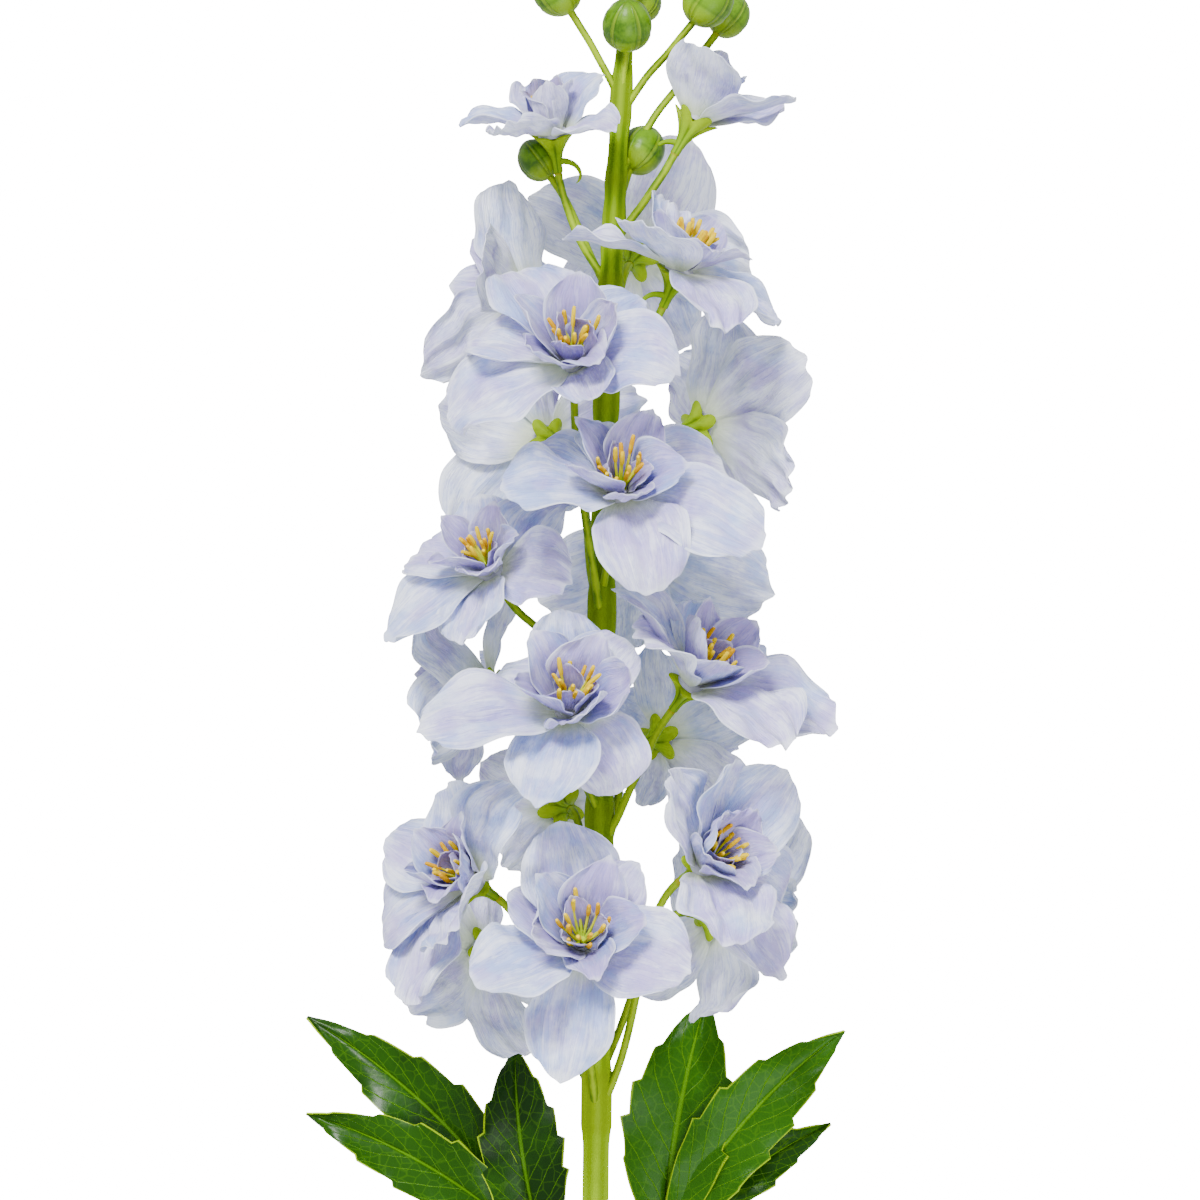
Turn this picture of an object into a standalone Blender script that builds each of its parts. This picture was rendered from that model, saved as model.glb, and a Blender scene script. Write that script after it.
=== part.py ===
"""Delphinium flower spike, cut and laid down on its side.

The stem runs along Y with the bud tip at +Y. +Z is up, away from the surface that the spike
lies on. Blooms stand round the stem on curved stalks, each with a green calyx behind it, two
or three whorls of petals and a tuft of stamens. Green buds close the top and two leaves cut
into three lobes stand near the cut end.
"""

import math
import random
from collections import namedtuple

import bmesh
import bpy
import numpy as np
from mathutils import Matrix, Vector

# The spike is laid out, in metres, from a point on the surface under the middle of its flowering
# part, and the finished model's origin is this point, under the middle of the whole spike.
ORIGIN = Vector((-0.0076, -0.0328, 0.0001))

# Stem.
CUT_END = -0.324
STEM_TOP = 0.252
STEM_RADIUS_LOW = 0.0041
STEM_RADIUS_HIGH = 0.0013
HEAD_HEIGHT = 0.051
HEAD_CENTRE = -0.020
STEM_SEGMENTS = 16
STEM_NODS_FROM = 0.0623

# Stalks and the calyx at the end of each one.
STALK_RADIUS = 0.0012
BUD_STALK_RADIUS = 0.0009
STALK_STEPS = 4
NECK_LENGTH = 0.0105
NECK_RADIUS = 0.0016
LOBE_REACH = 0.0072
LOBE_NOTCH = 0.0042
LOBES = 5

# Blooms.
PETAL_THICKNESS = 0.0006
CORE_HEIGHT = 0.0028
CORE_RADIUS = 0.0046
CORE_TOP_RADIUS = 0.0031
ROOT_RADII = (0.0036, 0.0028)
ROOT_HEIGHTS = (0.0007, 0.0018)
WHORL_ANGLE = 12
LOWEST_START = 0
HIGHEST_STARTS = (70, 78)
SINK = 6
CLAW = 0.15
TWIST = 6
TWIST_WHEN_UP = 0.15
ROOM_WHEN_UP = 0.3
SEAT_GAP = 0.0003
FOCUS = 0.010
CELL_GAP = 0.0005
STEM_CLEARANCE = 0.0075
STALK_CLEARANCE = 0.0040
PRESS_DEPTH = 0.0050
SURFACE_SOFTNESS = 0.0009
LOWEST_MIDDLE = 0.00036
LAYER_STEP = 0.0011

# Stamens.
HUB_RADIUS = 0.0017
HUB_HEIGHT = 0.0016
STAMEN_SPREAD = 22
ANTHER_RADIUS = 0.00075
FILAMENT_RADIUS = 0.00040

# Leaves.
LEAF_THICKNESS = 0.0009
LEAF_ROWS = 6
LEAF_ARCH = 0.004
LEAF_FOLD = 0.18
PETIOLE_RADIUS = 0.0017

Bloom = namedtuple(
    "Bloom", "along around reach turn tilt petal gape drop sepals shares droop",
    defaults=((), 14),
)
Whorl = namedtuple("Whorl", "level angles length width start end cup columns rows")
Petal = namedtuple("Petal", "level bearing length width start end cup room columns rows")
Bud = namedtuple("Bud", "along around reach size drop")
Lobe = namedtuple("Lobe", "bearing length width rise bow")
Leaf = namedtuple("Leaf", "along side base_x base_z lobes")

# Each bloom: place of its seat along and around the stem (90 is straight up) and its distance
# from the stem's axis, the way it faces (turn around the stem, tilt to the tip), the length of
# its outer petals, how far they stand up, how far below the seat the stalk leaves the stem, the
# bearings of the outer petals round the bloom, from the tip of the spike to the left, the length
# of each as a share, and the angle by which the petals at the bottom droop.
EVEN = (0, 72, 144, 216, 288)
BLOOMS = {
    "bloom_01": Bloom(0.1390, 168, 0.020, 112, 70, 0.0260, 36, 0.045, (5, 78, 146, 216, 286),
                      (), 4.0),
    "bloom_02": Bloom(0.1435, 0, 0.022, -10, 60, 0.0290, 50, 0.037, (20, 92, 164, 236, 308),
                      (), 0.0),
    "bloom_03": Bloom(0.0970, 50, 0.031, 30, 62, 0.0320, 8, 0.034, (20, 88, 150, 212, 285)),
    "bloom_04": Bloom(0.0910, 207, 0.028, 206, 14, 0.0350, 18, 0.034, (12, 80, 150, 222, 290)),
    "bloom_05": Bloom(0.0690, 104, 0.042, 92, 41, 0.0400, 16, 0.076, (28, 70, 116, 196, 250, 306),
                      (0.92, 0.74, 1.0, 0.80, 1.25, 1.0), 32.0),
    "bloom_06": Bloom(0.1040, -76, 0.029, -80, 14, 0.0370, 8, 0.032, (22, 96, 160, 222, 296)),
    "bloom_07": Bloom(0.0310, 83, 0.040, 86, 39, 0.0390, 14, 0.030, (8, 62, 104, 192, 238, 290),
                      (0.80, 0.88, 1.02, 1.0, 1.10, 0.80), 32.0),
    "bloom_08": Bloom(0.0525, -20, 0.030, -44, 10, 0.0380, 14, 0.034, (8, 62, 118, 176, 238, 302),
                      (1.0, 1.0, 1.05, 1.05, 1.0, 1.0)),
    "bloom_09": Bloom(0.0080, 152, 0.037, 120, 40, 0.0310, 18, 0.036, (24, 80, 132, 186, 262, 326),
                      (0.84, 0.92, 1.12, 0.90, 0.85, 0.95), 22.0),
    "bloom_10": Bloom(0.0485, 234, 0.030, 240, 2, 0.0390, 8, 0.052, EVEN),
    "bloom_11": Bloom(0.0150, -66, 0.028, -66, -2, 0.0380, 4, 0.056, (36, 108, 180, 250, 322)),
    "bloom_12": Bloom(-0.0340, 104, 0.039, 84, 41, 0.0400, 16, 0.032, (2, 56, 102, 162, 212, 314),
                      (0.95, 0.86, 1.06, 0.86, 0.66, 0.88), 30.0),
    "bloom_13": Bloom(-0.0250, 38, 0.034, 50, 42, 0.0390, 18, 0.050, (34, 78, 192, 226, 280, 326),
                      (0.84, 0.96, 0.96, 1.06, 0.80, 0.76), 20.0),
    "bloom_14": Bloom(-0.0270, 200, 0.035, 204, 4, 0.0350, 12, 0.036, (30, 100, 172, 245, 316)),
    "bloom_15": Bloom(-0.0840, 150, 0.043, 128, 24, 0.0360, 28, 0.062, (14, 72, 124, 170, 212, 316),
                      (0.76, 0.74, 0.84, 1.12, 1.05, 0.92)),
    "bloom_16": Bloom(-0.1020, 96, 0.045, 90, 30, 0.0410, 12, 0.055, (12, 66, 120, 171, 244, 322),
                      (0.84, 0.76, 0.94, 0.90, 1.0, 0.96), 26.0),
    "bloom_17": Bloom(-0.0790, 40, 0.040, 56, 22, 0.0370, 26, 0.076, (0, 44, 160, 206, 246, 316),
                      (0.92, 0.96, 1.15, 0.95, 0.74, 0.96), 18.0),
    "bloom_18": Bloom(-0.1060, 212, 0.040, 230, -14, 0.0345, 10, 0.044, (34, 104, 176, 246, 320)),
    "bloom_19": Bloom(-0.0960, -32, 0.041, -46, -8, 0.0355, 10, 0.048, (18, 92, 162, 236, 308)),
    "bloom_20": Bloom(-0.0630, 246, 0.029, 254, 2, 0.0370, 6, 0.034, (12, 84, 156, 228, 300)),
    "bloom_21": Bloom(-0.0420, -54, 0.030, -60, 8, 0.0350, 6, 0.040, (0, 66, 138, 210, 284)),
}
LIGHT_BLOOMS = ("bloom_06", "bloom_10", "bloom_11", "bloom_18", "bloom_19", "bloom_20", "bloom_21")

# Small curled bracts on the necks of the top blooms: the bearing each one springs at.
BRACTS = {"bloom_01": 255, "bloom_02": 60, "bloom_03": 110}
BRACT_LENGTH = 0.011

# Buds that stand by themselves in front, then a rule for the close ones up to the tip.
LOW_BUDS = (
    Bud(0.1320, 190, 0.024, 0.0120, 0.040),
    Bud(0.1350, -40, 0.009, 0.0140, 0.020),
    Bud(0.1715, 88, 0.009, 0.0150, 0.024),
    Bud(0.1820, 158, 0.023, 0.0145, 0.032),
    Bud(0.1790, 18, 0.025, 0.0150, 0.034),
    Bud(0.1760, -22, 0.033, 0.0125, 0.050),
    Bud(0.1800, -70, 0.012, 0.0120, 0.024),
)
TOP_BUDS = 9
TOP_BUDS_FROM = 0.196
GOLDEN_ANGLE = 137.5

LEAVES = {
    "leaf_left": Leaf(
        -0.205, -1, -0.016, 0.0205,
        (
            Lobe(135.0, 0.104, 0.0120, -0.010, -0.07),
            Lobe(148.5, 0.086, 0.0110, 0.002, -0.07),
            Lobe(98.5, 0.066, 0.0130, 0.002, 0.04),
        ),
    ),
    "leaf_right": Leaf(
        -0.202, 1, 0.019, 0.0200,
        (
            Lobe(50.5, 0.087, 0.0125, 0.003, 0.07),
            Lobe(36.5, 0.064, 0.0080, -0.009, 0.06),
            Lobe(80.0, 0.078, 0.0165, -0.005, 0.03),
        ),
    ),
}

GREEN = ((0.30, 0.42, 0.03), 0.45)
LEAF_GREEN = ((0.07, 0.24, 0.03), 0.38)
PETAL_BLUE = ((0.56, 0.62, 0.86), 0.55)
STAMEN_YELLOW = ((0.86, 0.62, 0.08), 0.55)


def clear_scene():
    """Removes whatever the scene holds."""
    for obj in list(bpy.data.objects):
        bpy.data.objects.remove(obj)


def material(name, colour, roughness):
    made = bpy.data.materials.new(name)
    made.use_nodes = True
    shader = made.node_tree.nodes["Principled BSDF"]
    shader.inputs["Base Color"].default_value = (*colour, 1)
    shader.inputs["Roughness"].default_value = roughness
    shader.inputs["Metallic"].default_value = 0
    return made


def collection(name):
    made = bpy.data.collections.new(name)
    bpy.context.scene.collection.children.link(made)
    return made


def stem_x(y):
    """The stem leans to the right towards its tip."""
    return 0.0006 + 0.011 * y + 0.18 * np.maximum(y, 0) ** 2


def stem_z(y):
    """The head lies level on its blooms and the lower stem comes down to the surface."""
    fall = (HEAD_HEIGHT - STEM_RADIUS_LOW) / (CUT_END - HEAD_CENTRE) ** 2
    low = np.minimum(y - HEAD_CENTRE, 0)
    high = np.maximum(y - STEM_NODS_FROM, 0)
    return HEAD_HEIGHT - fall * low**2 - 0.2 * high**2


def stem_point(y):
    return Vector((float(stem_x(y)), y, float(stem_z(y))))


def outward(around):
    """The unit vector that points away from the stem at this angle round it."""
    a = math.radians(around)
    return Vector((math.cos(a), 0, math.sin(a)))


def seat(bloom):
    return stem_point(bloom.along) + bloom.reach * outward(bloom.around)


def facing(bloom):
    tilt = math.radians(bloom.tilt)
    return math.cos(tilt) * outward(bloom.turn) + Vector((0, math.sin(tilt), 0))


def bearing_axes(normal):
    """Two directions in the bloom's plane: to the spike's tip, and a quarter turn to the left."""
    ahead = Vector((0, 1, 0))
    ahead = ahead - ahead.dot(normal) * normal
    if ahead.length < 0.55:
        ahead = Vector((0, 0, -1))
        ahead = ahead - ahead.dot(normal) * normal
    ahead.normalize()
    return ahead, normal.cross(ahead)


def stalk_points(root, start, end, finish):
    """Control points of the stalk's cubic curve, which leaves the stem upwards and outwards."""
    reach = (end - root).length
    return root, root + 0.42 * reach * start, end - 0.36 * reach * finish, end


def bloom_stalk(bloom):
    normal = facing(bloom)
    end = seat(bloom) - NECK_LENGTH * normal
    start = (0.8 * Vector((0, 1, 0)) + 0.6 * outward(bloom.around)).normalized()
    return stalk_points(stem_point(bloom.along - bloom.drop), start, end, normal)


def bud_axis(bud):
    return (0.8 * Vector((0, 1, 0)) + 0.6 * outward(bud.around)).normalized()


def bud_stalk(bud):
    axis = bud_axis(bud)
    end = stem_point(bud.along) + bud.reach * outward(bud.around) - 0.4 * bud.size * axis
    start = (0.85 * Vector((0, 1, 0)) + 0.5 * outward(bud.around)).normalized()
    return stalk_points(stem_point(bud.along - bud.drop), start, end, axis)


def on_stalk(points, t):
    a, b, c, d = points
    s = 1 - t
    return s**3 * a + 3 * s * s * t * b + 3 * s * t * t * c + t**3 * d


def all_buds():
    """The low buds, then smaller and closer ones in a spiral up to the stem's tip."""
    found = list(LOW_BUDS)
    for i in range(TOP_BUDS):
        share = i / (TOP_BUDS - 1)
        along = TOP_BUDS_FROM + (STEM_TOP + 0.004 - TOP_BUDS_FROM) * share
        reach = 0.019 * (1 - share) + 0.0001
        size = 0.0120 * (1 - share) + 0.0065 * share
        found.append(Bud(along, 50 + GOLDEN_ANGLE * i, reach, size, 0.022 - 0.012 * share))
    return found


# Petals. A point of a petal is given by across, -1 to 1, and up, 0 at the root to 1 at the tip.
def petal_outline(up):
    """The petal's half width as a share of the widest: a narrow root and a round tip."""
    widest = 0.60
    rising = np.clip(up / widest, 0, 1)
    grown = CLAW + (1 - CLAW) * rising**0.9 * (2 - rising**0.9)
    past = np.clip((up - widest) / (1 - widest), 0, 1)
    return grown * np.sqrt(np.clip(1 - past**2.3, 0, 1))


def petal_points(frame, petal, across, up, seat_point):
    """Points on the petal's middle surface, as an array of rows of x, y, z."""
    normal, ahead, left = frame
    b = math.radians(petal.bearing)
    out = np.array(math.cos(b) * ahead + math.sin(b) * left)
    side = np.array(-math.sin(b) * ahead + math.cos(b) * left)
    a0 = math.radians(petal.start)
    bend = math.radians(petal.end - petal.start)
    turned = a0 + bend * up
    root = ROOT_RADII[petal.level]
    run = root + petal.length * (np.sin(turned) - math.sin(a0)) / bend
    rise = SEAT_GAP + ROOT_HEIGHTS[petal.level]
    rise = rise - petal.length * (np.cos(turned) - math.cos(a0)) / bend
    room = np.where(across > 0, petal.room[1], petal.room[0]) * np.maximum(
        run, root + ROOM_WHEN_UP * petal.length * up
    )
    half = np.minimum(petal.width * petal_outline(up) * np.abs(across), room) * np.sign(across)
    twist = TWIST + TWIST_WHEN_UP * max(petal.start, 0)
    lift = petal.cup * half * across + math.tan(math.radians(twist)) * half
    return (
        np.array(seat_point)
        + (run - lift * np.sin(turned))[:, None] * out
        + (rise + lift * np.cos(turned))[:, None] * np.array(normal)
        + half[:, None] * side
    )


def pressed(points, level):
    """The petals that meet the surface lie flat on it, the inner whorls on the outer ones."""
    lowest = LOWEST_MIDDLE + LAYER_STEP * level
    soft = SURFACE_SOFTNESS
    flat = lowest + soft * np.logaddexp(0, (points[:, 2] - lowest) / soft)
    return np.column_stack((points[:, :2], flat))


def is_clear(points, walls, stalk_cloud):
    """True if a petal's test points keep to their bloom's own space."""
    for middle, direction in walls:
        if ((points - middle) @ direction).min() < CELL_GAP:
            return False
    if points[:, 2].min() < -PRESS_DEPTH:
        return False
    from_stem = np.hypot(
        points[:, 0] - stem_x(points[:, 1]), points[:, 2] - stem_z(points[:, 1])
    )
    if from_stem.min() < STEM_CLEARANCE:
        return False
    apart = np.linalg.norm(points[:, None, :] - stalk_cloud[None, :, :], axis=2)
    return apart.min() > STALK_CLEARANCE


def walls_of(name):
    """The planes half way to each neighbour: they bound the space that a bloom's petals keep to."""
    mine = seat(BLOOMS[name]) + FOCUS * facing(BLOOMS[name])
    found = []
    for other, bloom in BLOOMS.items():
        theirs = seat(bloom) + FOCUS * facing(bloom)
        apart = mine - theirs
        if other != name and apart.length < 0.095:
            found.append((np.array((mine + theirs) / 2), np.array(apart.normalized())))
    return found


def stalks_near(name):
    """Points along every stalk and calyx but the bloom's own."""
    cloud = []
    for other, bloom in BLOOMS.items():
        if other != name:
            line = bloom_stalk(bloom)
            cloud += [on_stalk(line, t) for t in np.linspace(0.1, 1, 16)]
            cloud.append(seat(bloom) - 0.4 * NECK_LENGTH * facing(bloom))
    for bud in all_buds():
        line = bud_stalk(bud)
        cloud += [on_stalk(line, t) for t in np.linspace(0.1, 1, 12)]
        cloud += [line[3] + s * bud.size * bud_axis(bud) for s in (0.3, 0.6, 0.9)]
    return np.array(cloud)


TEST_ACROSS = np.repeat(np.array((-1, -0.5, 0, 0.5, 1)), 7)
TEST_UP = np.tile(np.array((0.22, 0.36, 0.5, 0.64, 0.78, 0.9, 0.985)), 5)
OUTER_LIFTS = [0] + [sign * step for step in range(4, 72, 4) for sign in (1, -1) if step < 40]
INNER_LIFTS = (0, 4, 8, -4, 12)


def fitted(frame, petal, seat_point, walls, cloud):
    """Raises or lowers the petal, and then shortens it, until it clears its neighbours."""
    lifts = OUTER_LIFTS if petal.level == 0 else INNER_LIFTS
    for share in (1, 0.92, 0.84, 0.76, 0.68, 0.6, 0.5):
        for lift in lifts:
            if petal.start + lift < LOWEST_START:
                continue
            tried = petal._replace(
                length=share * petal.length,
                width=share * petal.width,
                start=petal.start + lift,
                end=petal.end + lift,
            )
            points = petal_points(frame, tried, TEST_ACROSS, TEST_UP, seat_point)
            if is_clear(points, walls, cloud):
                return tried
    return None


def whorls_of(name):
    """The outer and the inner petals of a bloom."""
    bloom = BLOOMS[name]
    size, gape = bloom.petal, bloom.gape
    rows, count = (2, 3) if name in LIGHT_BLOOMS else (3, 5)
    outer = Whorl(0, bloom.sepals, size, 0.43 * size, gape, gape - 26, 0.20, 2, rows)
    inner = [bloom.sepals[0] + 36 + 360 / count * i for i in range(count)]
    inner = Whorl(1, inner, 0.60 * size, 0.21 * size, gape + 40, gape + 32, 0.34, 2, 2)
    return outer, inner


def turn_between(one, other):
    return abs((one - other + 180) % 360 - 180)


def side_room(angles, bearing):
    """Half the way to the next petal on either side, as a slope from the bloom's middle."""
    apart = sorted((a - bearing) % 360 for a in angles)
    half_right, half_left = (360 - apart[-1]) / 2, apart[1] / 2
    return [math.tan(math.radians(min(half, 62))) for half in (half_right, half_left)]


def petals_of(name):
    """The bloom's directions and every petal that fits in its space."""
    draw = random.Random(int(name[-2:]))
    bloom = BLOOMS[name]
    normal = facing(bloom)
    frame = (normal, *bearing_axes(normal))
    walls, cloud = walls_of(name), stalks_near(name)
    made = []
    for whorl in whorls_of(name):
        for place, bearing in enumerate(whorl.angles):
            outer = whorl.level == 0
            share = bloom.shares[place] if outer and bloom.shares else 1
            hang = (1 - math.cos(math.radians(bearing))) / 2 if outer else 0
            under = [
                petal.start + WHORL_ANGLE for petal in made
                if petal.level < whorl.level and turn_between(petal.bearing, bearing) < 58
            ]
            start = max(under + [whorl.start + draw.uniform(-4, 4) - SINK * hang])
            start = min(HIGHEST_STARTS[whorl.level], max(LOWEST_START, start))
            petal = Petal(
                whorl.level, bearing, share * whorl.length * draw.uniform(0.94, 1.05),
                share**0.5 * whorl.width * draw.uniform(0.94, 1.05), start,
                start + whorl.end - whorl.start - bloom.droop * hang, whorl.cup,
                side_room(whorl.angles, bearing), whorl.columns, whorl.rows,
            )
            petal = fitted(frame, petal, seat(bloom), walls, cloud)
            if petal:
                made.append(petal)
    return frame, made


def as_mesh(obj, weld=True):
    """The object's evaluated mesh in world space as a new object; a tube's caps are welded."""
    bpy.context.view_layer.update()
    graph = bpy.context.evaluated_depsgraph_get()
    mesh = bpy.data.meshes.new_from_object(obj.evaluated_get(graph), depsgraph=graph)
    bm = bmesh.new()
    bm.from_mesh(mesh)
    if weld:
        bmesh.ops.remove_doubles(bm, verts=bm.verts, dist=0.00001)
    bm.transform(obj.matrix_world)
    bm.to_mesh(mesh)
    bm.free()
    made = bpy.data.objects.new(obj.name + "_mesh", mesh)
    bpy.data.objects.remove(obj)
    return made


def keep_largest(mesh):
    """Drops loose scraps and fills sealed hollows, which leaves the mesh's largest shell."""
    bm = bmesh.new()
    bm.from_mesh(mesh)
    left = set(bm.verts)
    shells = []
    while left:
        shell, edge = set(), [left.pop()]
        while edge:
            vert = edge.pop()
            shell.add(vert)
            near = {e.other_vert(vert) for e in vert.link_edges} & left
            left -= near
            edge += near
        shells.append(shell)
    largest = max(shells, key=len)
    spare = [v for shell in shells if shell is not largest for v in shell]
    bmesh.ops.delete(bm, geom=spare, context="VERTS")
    bm.to_mesh(mesh)
    bm.free()


def blade(name, points_at, columns, rows, thickness):
    """A thin curved blade: a grid laid on a formula's surface, with Solidify for its thickness."""
    bm = bmesh.new()
    bmesh.ops.create_grid(bm, x_segments=columns, y_segments=rows, size=1)
    grid = np.array([v.co[:2] for v in bm.verts])
    for v, point in zip(bm.verts, points_at(grid[:, 0], 0.5 + 0.5 * grid[:, 1])):
        v.co = point
    bmesh.ops.triangulate(bm, faces=bm.faces)
    mesh = bpy.data.meshes.new(name)
    bm.to_mesh(mesh)
    bm.free()
    obj = bpy.data.objects.new(name, mesh)
    bpy.context.scene.collection.objects.link(obj)
    thick = obj.modifiers.new("thickness", "SOLIDIFY")
    thick.thickness = thickness
    thick.offset = 0
    return as_mesh(obj)


def petal_solid(name, frame, petal, seat_point):
    def points_at(across, up):
        tip = up > 0.99
        up = np.where(tip & (np.abs(across) > 0.5), 0.90, up)
        across = np.where(tip, across * 0.85, across)
        return pressed(petal_points(frame, petal, across, up, seat_point), petal.level)

    return blade(name, points_at, petal.columns, petal.rows, PETAL_THICKNESS)


def standing_on(normal, point):
    """A matrix that sets an object's Z along normal and its origin at the point."""
    return Matrix.Translation(point) @ normal.to_track_quat("Z", "X").to_matrix().to_4x4()


def cone(name, sides, low, high, height, matrix):
    """A cone frustum that stands on its matrix's origin."""
    bm = bmesh.new()
    bmesh.ops.create_cone(
        bm, segments=sides, radius1=low, radius2=high, depth=height, cap_ends=True
    )
    bmesh.ops.translate(bm, verts=bm.verts, vec=(0, 0, height / 2))
    bm.transform(matrix)
    mesh = bpy.data.meshes.new(name)
    bm.to_mesh(mesh)
    bm.free()
    return bpy.data.objects.new(name, mesh)


def tube(name, controls, radii, sides_level, steps):
    """A round stalk along one cubic curve, or through a list of points with a radius each."""
    data = bpy.data.curves.new(name, "CURVE")
    data.dimensions = "3D"
    data.bevel_depth = 1
    data.bevel_resolution = sides_level
    data.use_fill_caps = True
    spline = data.splines.new("POLY")
    if steps:
        points = [on_stalk(controls, i / steps) for i in range(steps + 1)]
        radii = [radii[0] + (radii[1] - radii[0]) * i / steps for i in range(steps + 1)]
    else:
        points = controls
    spline.points.add(len(points) - 1)
    for target, point, radius in zip(spline.points, points, radii):
        target.co = (*point, 1)
        target.radius = radius
    obj = bpy.data.objects.new(name, data)
    bpy.context.scene.collection.objects.link(obj)
    return as_mesh(obj)


def joined(name, first, others, paint, into):
    """One solid made of the first object and all the others by a single union."""
    group = bpy.data.collections.new(name + "_pieces")
    bpy.context.scene.collection.children.link(group)
    for obj in others:
        group.objects.link(obj)
    bpy.context.scene.collection.objects.link(first)
    union = first.modifiers.new("union", "BOOLEAN")
    union.operation = "UNION"
    union.operand_type = "COLLECTION"
    union.collection = group
    union.solver = "MANIFOLD"
    whole = as_mesh(first, weld=False)
    keep_largest(whole.data)
    for obj in list(group.objects):
        bpy.data.objects.remove(obj)
    bpy.data.collections.remove(group)
    whole.name = name
    whole.data.name = name
    whole.data.materials.clear()
    whole.data.materials.append(paint)
    whole.data.shade_smooth()
    whole.data.set_sharp_from_angle(angle=math.radians(40))
    into.objects.link(whole)
    return whole


def bearing_of(vert):
    return math.atan2(vert.co.y, vert.co.x)


def calyx(name, bloom):
    """The green neck that widens behind a bloom into a cup with five lobes."""
    normal = facing(bloom)
    matrix = standing_on(normal, seat(bloom) - NECK_LENGTH * normal)
    bm = bmesh.new()
    bmesh.ops.create_cone(
        bm, segments=2 * LOBES, radius1=NECK_RADIUS, radius2=LOBE_REACH,
        depth=NECK_LENGTH, cap_ends=True,
    )
    bmesh.ops.translate(bm, verts=bm.verts, vec=(0, 0, NECK_LENGTH / 2))
    rim = sorted((v for v in bm.verts if v.co.z > 0.5 * NECK_LENGTH), key=bearing_of)
    for v in rim[::2]:
        v.co.xy *= LOBE_NOTCH / LOBE_REACH
    bm.transform(matrix)
    mesh = bpy.data.meshes.new(name)
    bm.to_mesh(mesh)
    bm.free()
    return bpy.data.objects.new(name, mesh)


def bract(name, bloom, bearing):
    """A narrow bract that stands out from a bloom's neck and curls back."""
    normal = facing(bloom)
    ahead, left = bearing_axes(normal)
    b = math.radians(bearing)
    out = math.cos(b) * ahead + math.sin(b) * left
    root = seat(bloom) - 0.75 * NECK_LENGTH * normal
    tip = root + BRACT_LENGTH * (0.9 * out - 0.35 * normal)
    controls = (root, root + 0.35 * BRACT_LENGTH * out, tip - 0.3 * BRACT_LENGTH * out, tip)
    return tube(name, controls, (0.0009, 0.0004), 0, 3)


def bud_solid(name, bud):
    """A round bud with a flatter base and a blunt tip."""
    axis = bud_axis(bud)
    centre = stem_point(bud.along) + bud.reach * outward(bud.around)
    bm = bmesh.new()
    around, along = (7, 5) if bud.size > 0.0115 else (6, 4)
    bmesh.ops.create_uvsphere(bm, u_segments=around, v_segments=along, radius=bud.size / 2)
    for v in bm.verts:
        v.co.z *= 1.22 if v.co.z > 0 else 1.05
    bm.transform(standing_on(axis, centre))
    mesh = bpy.data.meshes.new(name)
    bm.to_mesh(mesh)
    bm.free()
    return bpy.data.objects.new(name, mesh)


def build_stem(paint, into):
    """The stem with every stalk, calyx and bud that grows from it."""
    heights = np.linspace(CUT_END, STEM_TOP, STEM_SEGMENTS + 1)
    share = (heights - CUT_END) / (STEM_TOP - CUT_END)
    radii = STEM_RADIUS_LOW + (STEM_RADIUS_HIGH - STEM_RADIUS_LOW) * share**4
    stem = tube("stem_core", [stem_point(float(y)) for y in heights], radii, 2, 0)
    pieces = []
    for name, bloom in BLOOMS.items():
        radii = (1.5 * STALK_RADIUS, STALK_RADIUS)
        pieces.append(tube(name + "_stalk", bloom_stalk(bloom), radii, 0, STALK_STEPS))
        pieces.append(calyx(name + "_calyx", bloom))
    for name, bearing in BRACTS.items():
        pieces.append(bract(name + "_bract", BLOOMS[name], bearing))
    for i, bud in enumerate(all_buds()):
        radii = (1.4 * BUD_STALK_RADIUS, BUD_STALK_RADIUS)
        pieces.append(tube(f"bud_stalk_{i}", bud_stalk(bud), radii, 0, 3))
        pieces.append(bud_solid(f"bud_{i}", bud))
    return joined("stem", stem, pieces, paint, into)


def build_petals(name, paint, into):
    frame, petals = petals_of(name)
    seat_point = seat(BLOOMS[name])
    low = seat_point + SEAT_GAP * frame[0]
    core = cone(name + "_core", 7, CORE_RADIUS, CORE_TOP_RADIUS, CORE_HEIGHT,
                standing_on(frame[0], low))
    solids = [
        petal_solid(f"{name}_petal_{i}", frame, petal, seat_point)
        for i, petal in enumerate(petals)
    ]
    return joined(name + "_petals", core, solids, paint, into)


def build_stamens(name, paint, into):
    """A tuft of stamens on a small hub that sits on the bloom's core."""
    bloom = BLOOMS[name]
    draw = random.Random(100 + int(name[-2:]))
    normal = facing(bloom)
    ahead, left = bearing_axes(normal)
    base = seat(bloom) + (CORE_HEIGHT + 2 * SEAT_GAP) * normal
    hub = cone(name + "_hub", 6, HUB_RADIUS, 0.7 * HUB_RADIUS, HUB_HEIGHT,
               standing_on(normal, base))
    count = 3 if name in LIGHT_BLOOMS else 5
    needles = []
    for i in range(count):
        bearing = 2 * math.pi * (i + draw.uniform(-0.2, 0.2)) / count
        lean = math.radians(STAMEN_SPREAD * draw.uniform(0.35, 1.0))
        out = math.cos(bearing) * ahead + math.sin(bearing) * left
        axis = (math.cos(lean) * normal + math.sin(lean) * out).normalized()
        length = 0.30 * bloom.petal * draw.uniform(0.85, 1.1)
        root = base + 0.5 * HUB_RADIUS * out + 0.3 * HUB_HEIGHT * normal
        bm = bmesh.new()
        bmesh.ops.create_cone(
            bm, segments=3, radius1=FILAMENT_RADIUS, radius2=ANTHER_RADIUS,
            depth=length, cap_ends=True,
        )
        bmesh.ops.translate(bm, verts=bm.verts, vec=(0, 0, length / 2))
        bm.transform(standing_on(axis, root))
        mesh = bpy.data.meshes.new(f"{name}_stamen_{i}")
        bm.to_mesh(mesh)
        bm.free()
        needles.append(bpy.data.objects.new(mesh.name, mesh))
    return joined(name + "_stamens", hub, needles, paint, into)


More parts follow.
